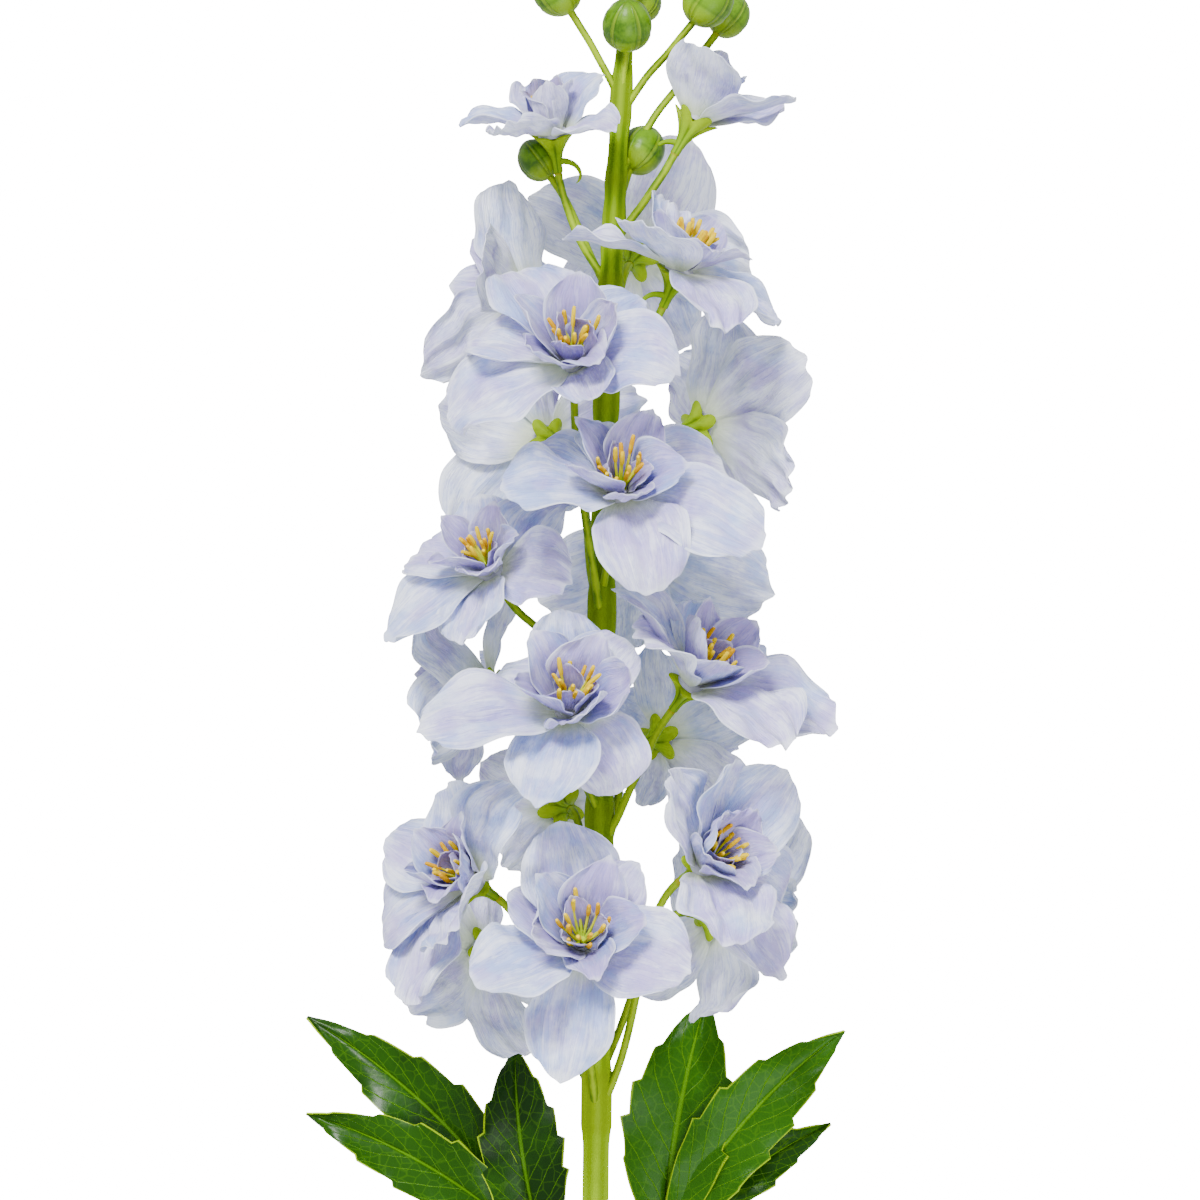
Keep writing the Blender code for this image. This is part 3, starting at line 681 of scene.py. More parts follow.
class Assembly:
    """A sub-assembly: one mesh in the making, which becomes one piece."""

    title = ""
    node = "stem"
    slot = Slot.STEM
    seed = 0

    def __post_init__(self) -> None:
        """Starts with nothing but its own random numbers."""
        self.draw = random.Random(self.seed)
        self.points: list[Array] = []
        self.faces: list[Face] = []
        self.marks: dict[Mark, list[Array]] = {mark: [] for mark in Mark}

    def shade(self) -> float:
        """Draws a number from -1 to 1, such as one body's own shade."""
        return self.draw.uniform(-1, 1)

    def add(self, points: Array, faces: Iterable[Face], marks: dict[Mark, object]) -> None:
        """Adds one closed body.

        Args:
            points: One row of x, y, z for each point.
            faces: The faces, by the numbers of their points.
            marks: What each mark holds: a number, or one for each point.
        """
        start = sum(len(body) for body in self.points)
        self.points.append(points)
        self.faces.extend(tuple(start + i for i in face) for face in faces)
        for mark in Mark:
            held = np.broadcast_to(np.asarray(marks.get(mark, 0.0), float), (len(points),))
            self.marks[mark].append(held)

    def shell(
        self, rings: Array, marks: dict[Mark, object], ends: dict[Mark, object] | None = None
    ) -> None:
        """Adds a shell of rings round an axis, closed by a fan at each end.

        Args:
            rings: The points, by ring along the axis and then anticlockwise round it.
            marks: What each mark holds, by ring and side.
            ends: What a mark holds in the middle of both ends, where that isn't the mean.
        """
        count, sides = rings.shape[:2]
        caps = rings[[0, -1]].mean(axis=1)
        points = np.concatenate((rings.reshape(-1, 3), caps))
        faces: list[Face] = []
        last = (count - 1) * sides
        for j in range(sides):
            k = (j + 1) % sides
            for i in range(0, last, sides):
                faces.append((i + j, i + k, i + sides + k, i + sides + j))
            faces.append((len(points) - 2, k, j))
            faces.append((len(points) - 1, last + j, last + k))
        held = {}
        for mark, value in marks.items():
            value = np.broadcast_to(value, (count, sides))
            middles = (ends or {}).get(mark, value[[0, -1]].mean(axis=1))
            held[mark] = np.concatenate((value.ravel(), middles))
        self.add(points, faces, held)

    def blade(
        self, grid: Array, thickness: Array, across: Array, up: Array, layer: float = 0.0
    ) -> None:
        """Adds a thin closed plate round a grid of points.

        Args:
            grid: The middle surface, by row and column.
            thickness: The thickness at each point of the grid.
            across: The place across at each point.
            up: The place from root to tip at each point.
            layer: The blade's layer.
        """
        rows, columns = grid.shape[:2]
        normal = unit(np.cross(np.gradient(grid, axis=1), np.gradient(grid, axis=0)))
        half = 0.5 * thickness[:, :, None] * normal
        below, above = (grid + half).reshape(-1, 3), (grid - half).reshape(-1, 3)
        size = rows * columns
        faces: list[Face] = []
        for r in range(rows - 1):
            for c in range(columns - 1):
                a = r * columns + c
                b, d, e = a + 1, a + columns + 1, a + columns
                faces.append((a, b, d, e))
                faces.append((size + a, size + e, size + d, size + b))
        index = np.arange(size).reshape(rows, columns)
        ring = np.concatenate((index[0], index[1:, -1], index[-1, -2::-1], index[-2:0:-1, 0]))
        for a, b in zip(ring.tolist(), np.roll(ring, -1).tolist()):
            faces.append((b, a, size + a, size + b))
        marks = {
            Mark.ACROSS: np.tile(across.ravel(), 2),
            Mark.UP: np.tile(up.ravel(), 2),
            Mark.TONE: self.shade(),
            Mark.LAYER: layer,
            Mark.UNDER: np.repeat((1.0, 0.0), size),
        }
        self.add(np.concatenate((below, above)), faces, marks)

    def fill(self) -> None:
        """Adds every body of the sub-assembly."""
        raise NotImplementedError

    def build(self, finish: bpy.types.Material) -> bpy.types.Object:
        """Builds the sub-assembly as a piece that rides with the spike.

        Args:
            finish: Its material.

        Returns:
            The piece.
        """
        self.fill()
        mesh = bpy.data.meshes.new(self.title)
        mesh.from_pydata((np.concatenate(self.points) - ORIGIN).tolist(), [], self.faces)
        mesh.update()
        for mark, held in self.marks.items():
            layer = mesh.attributes.new(mark.value, "FLOAT", "POINT")
            layer.data.foreach_set("value", np.concatenate(held).astype(np.float32))
        mesh.materials.append(finish)
        mesh.shade_smooth()
        mesh.set_sharp_from_angle(angle=SHARP_EDGE)
        piece = placed(self.title, mesh)
        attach(piece, "root")
        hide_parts(self.node)
        log.info("%s: %d points, %d faces", self.title, len(mesh.vertices), len(self.faces))
        return piece


def swept(path: Array, radii: Array, sides: int) -> Array:
    """Sweeps a round section along a path.

    Args:
        path: The points of the axis.
        radii: The radius at each point, or at each point and side.
        sides: How many sides the section has.

    Returns:
        The rings, which start at the side that faces up.
    """
    along = unit(np.gradient(path, axis=0))
    first = np.cross(along[0], TO_SKY)
    if np.linalg.norm(first) < 0.2:
        first = np.cross(along[0], (1.0, 0.0, 0.0))
    right = [unit(first)]
    for step in along[1:]:
        right.append(unit(right[-1] - np.dot(right[-1], step) * step))
    right = np.array(right)
    top = np.cross(right, along)
    radii = radii if radii.ndim == 2 else np.repeat(radii[:, None], sides, axis=1)
    level = (radii * np.cos(corners(sides)))[:, :, None] * top[:, None, :]
    wide = (radii * np.sin(corners(sides)))[:, :, None] * right[:, None, :]
    return path[:, None, :] + level - wide


@dataclass(frozen=True)
class StemLine:
    """The line that the stem follows, in metres, and how thick the stem is along it."""

    cut_end: float = -0.324
    tip: float = 0.252
    radius_low: float = 0.0041
    radius_high: float = 0.0013
    head_height: float = 0.051
    head_centre: float = -0.020
    droop_from: float = 0.0623

    def x(self, y: Array) -> Array:
        """Gives how far to the right the axis lies."""
        return 0.0006 + 0.011 * y + 0.18 * np.maximum(y, 0) ** 2

    def z(self, y: Array) -> Array:
        """Gives how high over the floor the axis lies.

        Args:
            y: The place along the stem.

        Returns:
            The height: level under the blooms, and down to the floor at the cut end.
        """
        fall = (self.head_height - self.radius_low) / (self.cut_end - self.head_centre) ** 2
        low = np.minimum(y - self.head_centre, 0)
        high = np.maximum(y - self.droop_from, 0)
        return self.head_height - fall * low**2 - 0.2 * high**2

    def points(self, y: Array) -> Array:
        """Gives the axis as rows of x, y, z."""
        y = np.asarray(y, float)
        return np.stack((self.x(y), y, self.z(y)), axis=-1)

    def radius(self, y: Array) -> Array:
        """Gives the radius, which shrinks fastest near the tip."""
        share = (y - self.cut_end) / (self.tip - self.cut_end)
        return self.radius_low + (self.radius_high - self.radius_low) * share**4


LINE = StemLine()


@dataclass(frozen=True)
class Shoot:
    """What a stalk carries: where it is along the stem and round it, and how far out."""

    along: float
    around: float
    reach: float

    def centre(self) -> Array:
        """Gives its middle, which a bloom's petals spring round."""
        return LINE.points(self.along) + self.reach * outward(self.around)

    def slant(self, ahead: float, out: float) -> Array:
        """Gives the unit vector between the way to the spike's tip and the way out."""
        return unit(ahead * TO_TIP + out * outward(self.around))

    def curve(self, drop: float, start: Array, end: Array, finish: Array) -> Array:
        """Gives the stalk's cubic curve.

        Args:
            drop: How far below the middle it leaves the stem.
            start: The direction it leaves in.
            end: Where it ends.
            finish: The direction it ends in.

        Returns:
            The four control points.
        """
        root = LINE.points(self.along - drop)
        reach = float(np.linalg.norm(end - root))
        leaving, arriving = 0.42 * reach, 0.36 * reach
        return np.array((root, root + leaving * start, end - arriving * finish, end))


@dataclass(frozen=True)
class Bloom(Shoot):
    """One bloom: which way it faces and how its outer petals stand."""

    turn: float
    tilt: float
    petal: float
    gape: float
    drop: float
    sepals: tuple[float, ...]
    shares: tuple[float, ...] = ()
    droop: float = 14.0
    turned: float = 0.0
    neck: float = 0.0105
    least_ahead: float = 0.55

    def facing(self) -> Array:
        """Gives the unit vector that the bloom looks along."""
        tilt = math.radians(self.tilt)
        return math.cos(tilt) * outward(self.turn) + math.sin(tilt) * TO_TIP

    def front(self, distance: float) -> Array:
        """Gives the point this far in front of the middle."""
        return self.centre() + distance * self.facing()

    def axes(self) -> tuple[Array, Array, Array]:
        """Gives the directions that the petals' bearings are measured in.

        Returns:
            The facing, the way to the spike's tip, and a quarter turn to the left of it.
        """
        normal = self.facing()
        ahead = TO_TIP - TO_TIP.dot(normal) * normal
        if np.linalg.norm(ahead) < self.least_ahead:
            ahead = TO_SKY.dot(normal) * normal - TO_SKY
        ahead = unit(ahead)
        return normal, ahead, np.cross(normal, ahead)

    def rings(self, heights: Array, radii: Array, sides: int) -> Array:
        """Lays rings round the bloom's axis.

        Args:
            heights: How far in front of the middle they lie, by ring and side.
            radii: How wide they are, by ring and side.
            sides: How many points each ring has.

        Returns:
            The rings.
        """
        normal, ahead, left = self.axes()
        around = spokes(corners(sides), ahead, left)
        return self.centre() + heights[..., None] * normal + radii[..., None] * around

    def stalk(self) -> Array:
        """Gives the stalk's curve, from the stem to the foot of the calyx."""
        end = self.front(-self.neck)
        return self.curve(self.drop, self.slant(0.8, 0.6), end, self.facing())


@dataclass(frozen=True)
class Bud(Shoot):
    """One bud: its size and where its stalk starts."""

    size: float
    drop: float

    def axis(self) -> Array:
        """Gives the unit vector from the bud's foot to its tip."""
        return self.slant(0.8, 0.6)

    def stalk(self) -> Array:
        """Gives the stalk's curve, from the stem to the bud's foot."""
        end = self.centre() - 0.4 * self.size * self.axis()
        return self.curve(self.drop, self.slant(0.85, 0.5), end, self.axis())


# Each bloom's along, around, reach, turn, tilt, petal, gape, drop, sepals, shares and droop.
BLOOMS = {
    "bloom_01": Bloom(0.1390, 168, 0.020, 112, 70, 0.0260, 36, 0.045, (5, 78, 146, 216, 286),
                      (), 4.0),
    "bloom_02": Bloom(0.1435, 0, 0.022, -10, 60, 0.0290, 50, 0.037, (20, 92, 164, 236, 308),
                      (), 0.0),
    "bloom_03": Bloom(0.0970, 50, 0.031, 30, 62, 0.0320, 8, 0.034, (20, 88, 150, 212, 285)),
    "bloom_04": Bloom(0.0910, 207, 0.028, 206, 14, 0.0350, 18, 0.034, (12, 80, 150, 222, 290),
                      turned=-36.0),
    "bloom_05": Bloom(0.0690, 104, 0.042, 92, 41, 0.0400, 16, 0.076, (28, 70, 116, 196, 250, 306),
                      (0.92, 0.74, 1.0, 0.80, 1.25, 1.0), 32.0),
    "bloom_06": Bloom(0.1040, -76, 0.029, -80, 14, 0.0370, 8, 0.032, (22, 96, 160, 222, 296)),
    "bloom_07": Bloom(0.0310, 83, 0.040, 86, 39, 0.0390, 14, 0.030, (8, 62, 104, 192, 238, 290),
                      (0.80, 0.88, 1.02, 1.0, 1.10, 0.80), 32.0),
    "bloom_08": Bloom(0.0525, -20, 0.030, -44, 10, 0.0380, 14, 0.034, (8, 62, 118, 176, 238, 302),
                      (1.0, 1.0, 1.05, 1.05, 1.0, 1.0)),
    "bloom_09": Bloom(0.0080, 152, 0.037, 120, 40, 0.0310, 18, 0.036, (24, 80, 132, 186, 262, 326),
                      (0.84, 0.92, 1.12, 0.90, 0.85, 0.95), 22.0),
    "bloom_10": Bloom(0.0485, 234, 0.030, 240, 2, 0.0390, 8, 0.052, (0, 72, 144, 216, 288)),
    "bloom_11": Bloom(0.0150, -66, 0.028, -66, -2, 0.0380, 4, 0.056, (36, 108, 180, 250, 322)),
    "bloom_12": Bloom(-0.0340, 104, 0.039, 84, 41, 0.0400, 16, 0.032, (2, 56, 102, 162, 212, 314),
                      (0.95, 0.86, 1.06, 0.86, 0.66, 0.88), 30.0),
    "bloom_13": Bloom(-0.0250, 38, 0.034, 50, 42, 0.0390, 18, 0.050, (34, 78, 192, 226, 280, 326),
                      (0.84, 0.96, 0.96, 1.06, 0.80, 0.76), 20.0),
    "bloom_14": Bloom(-0.0270, 200, 0.035, 204, 4, 0.0350, 12, 0.036, (30, 100, 172, 245, 316)),
    "bloom_15": Bloom(-0.0840, 150, 0.043, 128, 24, 0.0360, 28, 0.062, (14, 72, 124, 170, 212, 316),
                      (0.76, 0.74, 0.84, 1.12, 1.05, 0.92)),
    "bloom_16": Bloom(-0.1020, 96, 0.045, 90, 30, 0.0410, 12, 0.055, (12, 66, 120, 171, 244, 322),
                      (0.84, 0.76, 0.94, 0.90, 1.0, 0.96), 26.0),
    "bloom_17": Bloom(-0.0790, 40, 0.040, 56, 22, 0.0370, 26, 0.076, (0, 44, 160, 206, 246, 316),
                      (0.92, 0.96, 1.15, 0.95, 0.74, 0.96), 18.0),
    "bloom_18": Bloom(-0.1060, 212, 0.040, 230, -14, 0.0345, 10, 0.044, (34, 104, 176, 246, 320)),
    "bloom_19": Bloom(-0.0960, -32, 0.041, -46, -8, 0.0355, 10, 0.048, (18, 92, 162, 236, 308)),
    "bloom_20": Bloom(-0.0630, 246, 0.029, 254, 2, 0.0370, 6, 0.034, (12, 84, 156, 228, 300)),
    "bloom_21": Bloom(-0.0420, -54, 0.030, -60, 8, 0.0350, 6, 0.040, (0, 66, 138, 210, 284)),
}
# Each bud's along, around, reach, size and drop.
LOW_BUDS = (
    Bud(0.1320, 190, 0.024, 0.0120, 0.040),
    Bud(0.1350, -40, 0.009, 0.0140, 0.020),
    Bud(0.1715, 88, 0.009, 0.0150, 0.024),
    Bud(0.1820, 158, 0.023, 0.0145, 0.032),
    Bud(0.1790, 18, 0.025, 0.0150, 0.034),
    Bud(0.1760, -22, 0.033, 0.0125, 0.050),
    Bud(0.1800, -70, 0.012, 0.0120, 0.024),
)


@dataclass(frozen=True)
class TopBuds:
    """The rule for the small close buds in a spiral up to the stem's tip."""

    count: int = 9
    start: float = 0.196
    end: float = 0.256
    around: float = 50.0
    spiral: float = 137.5
    reaches: tuple[float, float] = (0.0191, 0.0001)
    sizes: tuple[float, float] = (0.0120, 0.0065)
    drops: tuple[float, float] = (0.022, 0.010)

    def buds(self) -> list[Bud]:
        """Lists the buds.

        Returns:
            The buds, from the lowest to the tip.
        """
        made = []
        for i, along in enumerate(np.linspace(self.start, self.end, self.count)):
            low, high = 1 - i / (self.count - 1), i / (self.count - 1)
            reach, size, drop = (
                first * low + last * high for first, last in (self.reaches, self.sizes, self.drops)
            )
            made.append(Bud(float(along), self.around + self.spiral * i, reach, size, drop))
        return made


ALL_BUDS = [*LOW_BUDS, *TopBuds().buds()]


@dataclass(frozen=True)
class Room:
    """The space that one bloom's petals keep to."""

    walls: tuple[tuple[Array, Array], ...]
    stalks: Array
    focus: float = 0.010
    neighbours: float = 0.095
    wall_gap: float = 0.0005
    stem_gap: float = 0.0075
    stalk_gap: float = 0.0040
    press: float = 0.0050

    @classmethod
    def round(cls, name: str) -> "Room":
        """Finds a bloom's neighbours.

        Args:
            name: The bloom's name.

        Returns:
            The planes half way to each neighbour, and points on every other stalk.
        """
        mine = BLOOMS[name].front(cls.focus)
        walls, cloud = [], []
        for other, bloom in BLOOMS.items():
            if other == name:
                continue
            theirs = bloom.front(cls.focus)
            apart = float(np.linalg.norm(mine - theirs))
            if apart < cls.neighbours:
                walls.append(((mine + theirs) / 2, (mine - theirs) / apart))
            cloud.append(bezier(bloom.stalk(), np.linspace(0.1, 1, 16)))
            cloud.append(bloom.front(-0.4 * bloom.neck)[None])
        for bud in ALL_BUDS:
            line = bud.stalk()
            cloud.append(bezier(line, np.linspace(0.1, 1, 12)))
            cloud.append(np.array([line[3] + s * bud.size * bud.axis() for s in (0.3, 0.6, 0.9)]))
        return cls(tuple(walls), np.concatenate(cloud))

    def holds(self, points: Array) -> bool:
        """Tells whether a petal's test points keep to the space.

        Args:
            points: The test points.

        Returns:
            True if no point comes too near a neighbour, the floor, the stem or a stalk.
        """
        for middle, direction in self.walls:
            if ((points - middle) @ direction).min() < self.wall_gap:
                return False
        if points[:, 2].min() < -self.press:
            return False
        across, high = points[:, 0] - LINE.x(points[:, 1]), points[:, 2] - LINE.z(points[:, 1])
        if np.hypot(across, high).min() < self.stem_gap:
            return False
        apart = np.linalg.norm(points[:, None, :] - self.stalks[None, :, :], axis=2)
        return bool(apart.min() > self.stalk_gap)


@dataclass(frozen=True)
class Profile:
    """A petal's outline: a narrow root, the widest place and a round or pointed tip."""

    widest: float
    claw: float
    swell: float
    blunt: float

    def width(self, up: Array, sharp: float = 0.5) -> Array:
        """Gives the half width as a share of the widest.

        Args:
            up: The place from the root, 0, to the tip, 1.
            sharp: How pointed the tip is: 0.5 is round and 1 is a point.

        Returns:
            The share at each place.
        """
        rising = np.clip(up / self.widest, 0, 1) ** self.swell
        past = np.clip((up - self.widest) / (1 - self.widest), 0, 1)
        wide = self.claw + (1 - self.claw) * rising * (2 - rising)
        return wide * np.clip(1 - past**self.blunt, 0, 1) ** sharp

    def edge(self, width: Array, sharp: float) -> Array:
        """Gives the place past the widest where the tip is this wide."""
        end = (1 - width ** (1 / sharp)) ** (1 / self.blunt)
        return self.widest + (1 - self.widest) * end


PLAIN = Profile(0.60, 0.15, 0.9, 2.3)
FINE = Profile(0.56, 0.26, 0.95, 2.2)


@dataclass(frozen=True)
class Ruffle:
    """How a petal's surface waves at its edges, pleats, creases and curls."""

    wave: float = 0.0
    turns: float = 1.5
    left: float = 0.0
    right: float = 0.5
    pleat: float = 0.0
    phase: float = 0.0
    crease: float = 0.0
    curl: float = 0.0
    point: float = 0.0
    sharp: float = 0.5
    slim: float = 1.0
    roll: float = 0.0

    @classmethod
    def drawn(cls, draw: random.Random, level: int, length: float) -> "Ruffle":
        """Draws a ruffle for one petal.

        Args:
            draw: The bloom's own random numbers.
            level: The petal's whorl.
            length: The petal's length.

        Returns:
            The ruffle.
        """
        outer = level == Level.OUTER.value
        return cls(
            wave=length * draw.uniform(0.032, 0.070) * (1.0 if outer else 0.85),
            turns=draw.uniform(1.0, 2.1),
            left=draw.random(),
            right=draw.random(),
            pleat=length * draw.uniform(0.010, 0.026) * (1.0 if outer else 0.65),
            phase=draw.random(),
            crease=length * draw.uniform(0.014, 0.040),
            curl=length * draw.uniform(-0.16, 0.16),
            point=draw.uniform(0.0, 0.05),
            sharp=draw.uniform(*(0.54, 0.86) if outer else (0.70, 1.0)),
            slim=draw.uniform(*(0.82, 1.0) if outer else (0.94, 1.16)),
            roll=draw.uniform(*(-7, 7) if outer else (-14, 14)),
        )

    def lift(self, across: Array, up: Array) -> Array:
        """Gives how far the surface stands off its plain form.

        Args:
            across: The place across, from -1 to 1.
            up: The place from root to tip.

        Returns:
            The lift at each point.
        """
        start = np.where(across < 0, self.left, self.right)
        edge = self.wave * np.abs(across) ** 2.2 * ripple(self.turns * up + start)
        pleats = self.pleat * ripple(1.8 * across + self.phase + 0.4 * up)
        arch = np.sin(math.pi * np.clip(up, 0, 1))
        middle = -self.crease * np.exp(-((across / 0.16) ** 2)) * arch
        middle = middle + 0.012 * math.sin(math.radians(self.roll)) * across * eased(up, 0, 0.5)
        end = self.curl * np.clip((up - 0.62) / 0.38, 0, 1.1) ** 2
        lumps = ripple(1.1 * across + 0.7 * up + self.left)
        lumps = lumps * ripple(1.7 * up - 0.5 * across + self.right)
        folds = ripple(2.9 * across + 1.2 * up + self.phase + self.left)
        crumple = self.pleat * (1.5 * lumps + 0.20 * folds)
        return (edge + pleats + crumple) * eased(up, 0.12, 0.55) + middle + end


TEST_ACROSS = np.repeat(np.array((-1, -0.5, 0, 0.5, 1)), 7)
TEST_UP = np.tile(np.array((0.22, 0.36, 0.5, 0.64, 0.78, 0.9, 0.985)), 5)
NO_RUFFLE = Ruffle()


@dataclass(frozen=True)
class Petal:
    """One petal: its whorl, its bearing round the bloom, its size and how it stands and bends."""

    level: int
    bearing: float
    length: float
    width: float
    start: float
    end: float
    cup: float
    room: tuple[float, float]
    root_radii: tuple[float, ...] = (0.0036, 0.0028, 0.0021)
    root_heights: tuple[float, ...] = (0.0007, 0.0018, 0.0027)
    seat_gap: float = 0.0003
    twist: float = 6.0
    twist_when_up: float = 0.15
    room_when_up: float = 0.3

    def points(
        self, bloom: Bloom, spread: Array, across: Array, up: Array, ruffle: Ruffle
    ) -> Array:
        """Gives points on the petal's middle surface.

        Args:
            bloom: The bloom that it belongs to.
            spread: The place across as a share of the petal's widest.
            across: The place across, from -1 to 1.
            up: The place from root to tip.
            ruffle: How the surface waves and curls.

        Returns:
            A row of x, y, z for each point.
        """
        normal, ahead, left = bloom.axes()
        b, a0 = math.radians(self.bearing), math.radians(self.start)
        out = math.cos(b) * ahead + math.sin(b) * left
        side = -math.sin(b) * ahead + math.cos(b) * left
        bend = math.radians(self.end - self.start)
        turned = a0 + bend * up
        root = self.root_radii[self.level]
        run = root + self.length * (np.sin(turned) - math.sin(a0)) / bend
        rise = self.seat_gap + self.root_heights[self.level]
        rise = rise - self.length * (np.cos(turned) - math.cos(a0)) / bend
        slope = np.where(across > 0, self.room[1], self.room[0])
        room = slope * np.maximum(run, root + self.room_when_up * self.length * up)
        half = np.minimum(self.width * np.abs(spread), room) * np.sign(across)
        twist = math.radians(self.twist + self.twist_when_up * max(self.start, 0))
        lift = self.cup * half * across + math.tan(twist) * half + ruffle.lift(across, up)
        return (
            bloom.centre()
            + (run - lift * np.sin(turned))[..., None] * out
            + (rise + lift * np.cos(turned))[..., None] * normal
            + half[..., None] * side
        )

    def fitted(self, bloom: Bloom, room: Room) -> "Petal | None":
        """Raises or lowers the petal, and then shortens it, until it clears its neighbours.

        Args:
            bloom: The bloom that it belongs to.
            room: The space that it keeps to.

        Returns:
            The petal that fits, or None.
        """
        steps = [s * step for step in range(4, 40, 4) for s in (1, -1)]
        lifts = [0, *(steps if self.level == Level.OUTER.value else (4, 8, -4, 12))]
        spread = TEST_ACROSS * PLAIN.width(TEST_UP)
        for share in (1, 0.92, 0.84, 0.76, 0.68, 0.6, 0.5):
            for lift in lifts:
                if self.start + lift < 0:
                    continue
                tried = replace(
                    self,
                    length=share * self.length,
                    width=share * self.width,
                    start=self.start + lift,
                    end=self.end + lift,
                )
                if room.holds(tried.points(bloom, spread, TEST_ACROSS, TEST_UP, NO_RUFFLE)):
                    return tried
        return None


@dataclass(frozen=True)
class Whorl:
    """One ring of petals: their bearings and the size and stand that they share."""

    level: Level
    angles: tuple[float, ...]
    length: float
    width: float
    start: float
    end: float
    cup: float
    widest_half: float = 62.0

    def room(self, bearing: float) -> tuple[float, float]:
        """Gives half the way to the next petal on either side, as slopes from the middle.

        Args:
            bearing: The petal's bearing.

        Returns:
            The slopes to the right and to the left.
        """
        apart = sorted((angle - bearing) % 360 for angle in self.angles)
        halves = ((360 - apart[-1]) / 2, apart[1] / 2)
        return tuple(math.tan(math.radians(min(half, self.widest_half))) for half in halves)


@dataclass
class BloomPart(Assembly):
    """A part of one bloom, whose random numbers start from the bloom's own number."""

    name: str

    def __post_init__(self) -> None:
        """Finds the bloom and names the part."""
        self.bloom = BLOOMS[self.name]
        self.number = int(self.name[-2:])
        self.seed += self.number
        self.node = f"{self.name}_{self.node}"
        self.title = self.node.replace("bloom", self.title)
        super().__post_init__()


@dataclass
class BloomHead(BloomPart):
    """The petals of one bloom and the core that they spring from."""

    title = "head"
    node = "petals"
    slot = Slot.PETAL
    seed = 500
    looseness: tuple[float, ...] = (1.26, 1.5, 2.0)
    grids: tuple[tuple[int, int], ...] = ((23, 21), (17, 15), (11, 11))
    thickness: float = 0.00042
    rim: float = 0.00020
    whorl_angle: float = 12.0
    highest_start: tuple[float, ...] = (70.0, 78.0, 84.0)
    sink: float = 6.0
    softness: float = 0.0009
    lowest: float = 0.00036
    layer_step: float = 0.0011
    order_step: float = 0.00012
    beside: float = 58.0
    waver: float = 4.0
    sizes: tuple[float, float] = (0.94, 1.05)
    side_end: float = 0.86

    def whorls(self) -> tuple[Whorl, ...]:
        """Lays out the outer, the inner and the tuft's petals.

        Returns:
            The whorls, from the back.
        """
        size, gape, first = self.bloom.petal, self.bloom.gape, self.bloom.sepals[0]
        inner = tuple(first + 36 + 72 * i for i in range(5))
        tuft = tuple(first + 10 + 120 * i for i in range(3))
        return (
            Whorl(Level.OUTER, self.bloom.sepals, size, 0.43 * size, gape, gape - 26, 0.20),
            Whorl(Level.INNER, inner, 0.60 * size, 0.21 * size, gape + 40, gape + 32, 0.34),
            Whorl(Level.TUFT, tuft, 0.36 * size, 0.12 * size, gape + 54, gape + 46, 0.35),
        )

    def petals(self) -> list[Petal]:
        """Fits the petals into the bloom's space, one after the other.

        Returns:
            Every petal that found room, from the back.
        """
        draw = random.Random(self.number)
        space = Room.round(self.name)
        made: list[Petal] = []
        for whorl in self.whorls():
            level = whorl.level.value
            for place, bearing in enumerate(whorl.angles):
                shares = self.bloom.shares if level == 0 else ()
                share = shares[place] if shares else 1.0
                hang = (1 - math.cos(math.radians(bearing))) / 2 if level == 0 else 0.0
                under = [
                    petal.start + self.whorl_angle
                    for petal in made
                    if petal.level < level
                    and abs((petal.bearing - bearing + 180) % 360 - 180) < self.beside
                ]
                waver = draw.uniform(-self.waver, self.waver)
                start = max(under + [whorl.start + waver - self.sink * hang])
                start = min(self.highest_start[level], max(0.0, start))
                petal = Petal(
                    level,
                    bearing,
                    share * whorl.length * draw.uniform(*self.sizes),
                    share**0.5 * whorl.width * draw.uniform(*self.sizes),
                    start,
                    start + whorl.end - whorl.start - self.bloom.droop * hang,
                    whorl.cup,
                    whorl.room(bearing),
                )
                petal = petal.fitted(self.bloom, space)
                if petal:
                    made.append(petal)
        return made

    def sheet(self, petal: Petal, ruffle: Ruffle, order: int) -> tuple[Array, Array, Array]:
        """Lays a petal's grid.

        Args:
            petal: The petal.
            ruffle: How its surface waves and curls.
            order: Its place in the bloom, which sets how it lies on the floor.

        Returns:
            The grid of points, and the place across and up at each.
        """
        columns, rows = self.grids[petal.level]
        share, across = np.meshgrid(
            np.linspace(0, 1, rows), np.linspace(-1, 1, columns), indexing="ij"
        )
        end_width = FINE.width(self.side_end, ruffle.sharp)
        tip = FINE.edge(end_width * np.abs(across), ruffle.sharp)
        tip = tip - self.side_end + ruffle.point * (1 - np.abs(across)) ** 1.5
        tip = tip + 0.006 * ripple(1.9 * across + ruffle.phase)
        up = share * self.side_end + share**4 * tip
        wobble = 1 + 0.026 * ripple(1.4 * up + ruffle.phase + 0.2 * across)
        wobble = wobble + 0.006 * ripple(4.6 * up + ruffle.left + 0.3 * across)
        outline = FINE.width(share * self.side_end, ruffle.sharp)
        spread = ruffle.slim * across * outline * wobble
        loose = self.looseness[petal.level] * (1 + petal.start / 90)
        twist = petal.twist + (self.bloom.turned if order == 0 else 0.0)
        freer = replace(petal, room=tuple(loose * slope for slope in petal.room), twist=twist)
        grid = freer.points(self.bloom, spread, across, up, ruffle)
        lowest = self.lowest + self.layer_step * petal.level + self.order_step * (order % 3)
        high = (grid[..., 2] - lowest) / self.softness
        grid[..., 2] = lowest + self.softness * np.logaddexp(0, high)
        return grid, across, up

    def core(self) -> None:
        """Adds the low mound that the petals spring from."""
        heights = np.array(((0.0003, 0.0012, 0.0022, 0.0029, 0.0033),)).T
        radii = np.array(((0.0046, 0.0044, 0.0037, 0.0026, 0.0011),)).T
        self.shell(self.bloom.rings(heights, radii, 20), {Mark.LAYER: 1.0, Mark.TONE: 0.3})

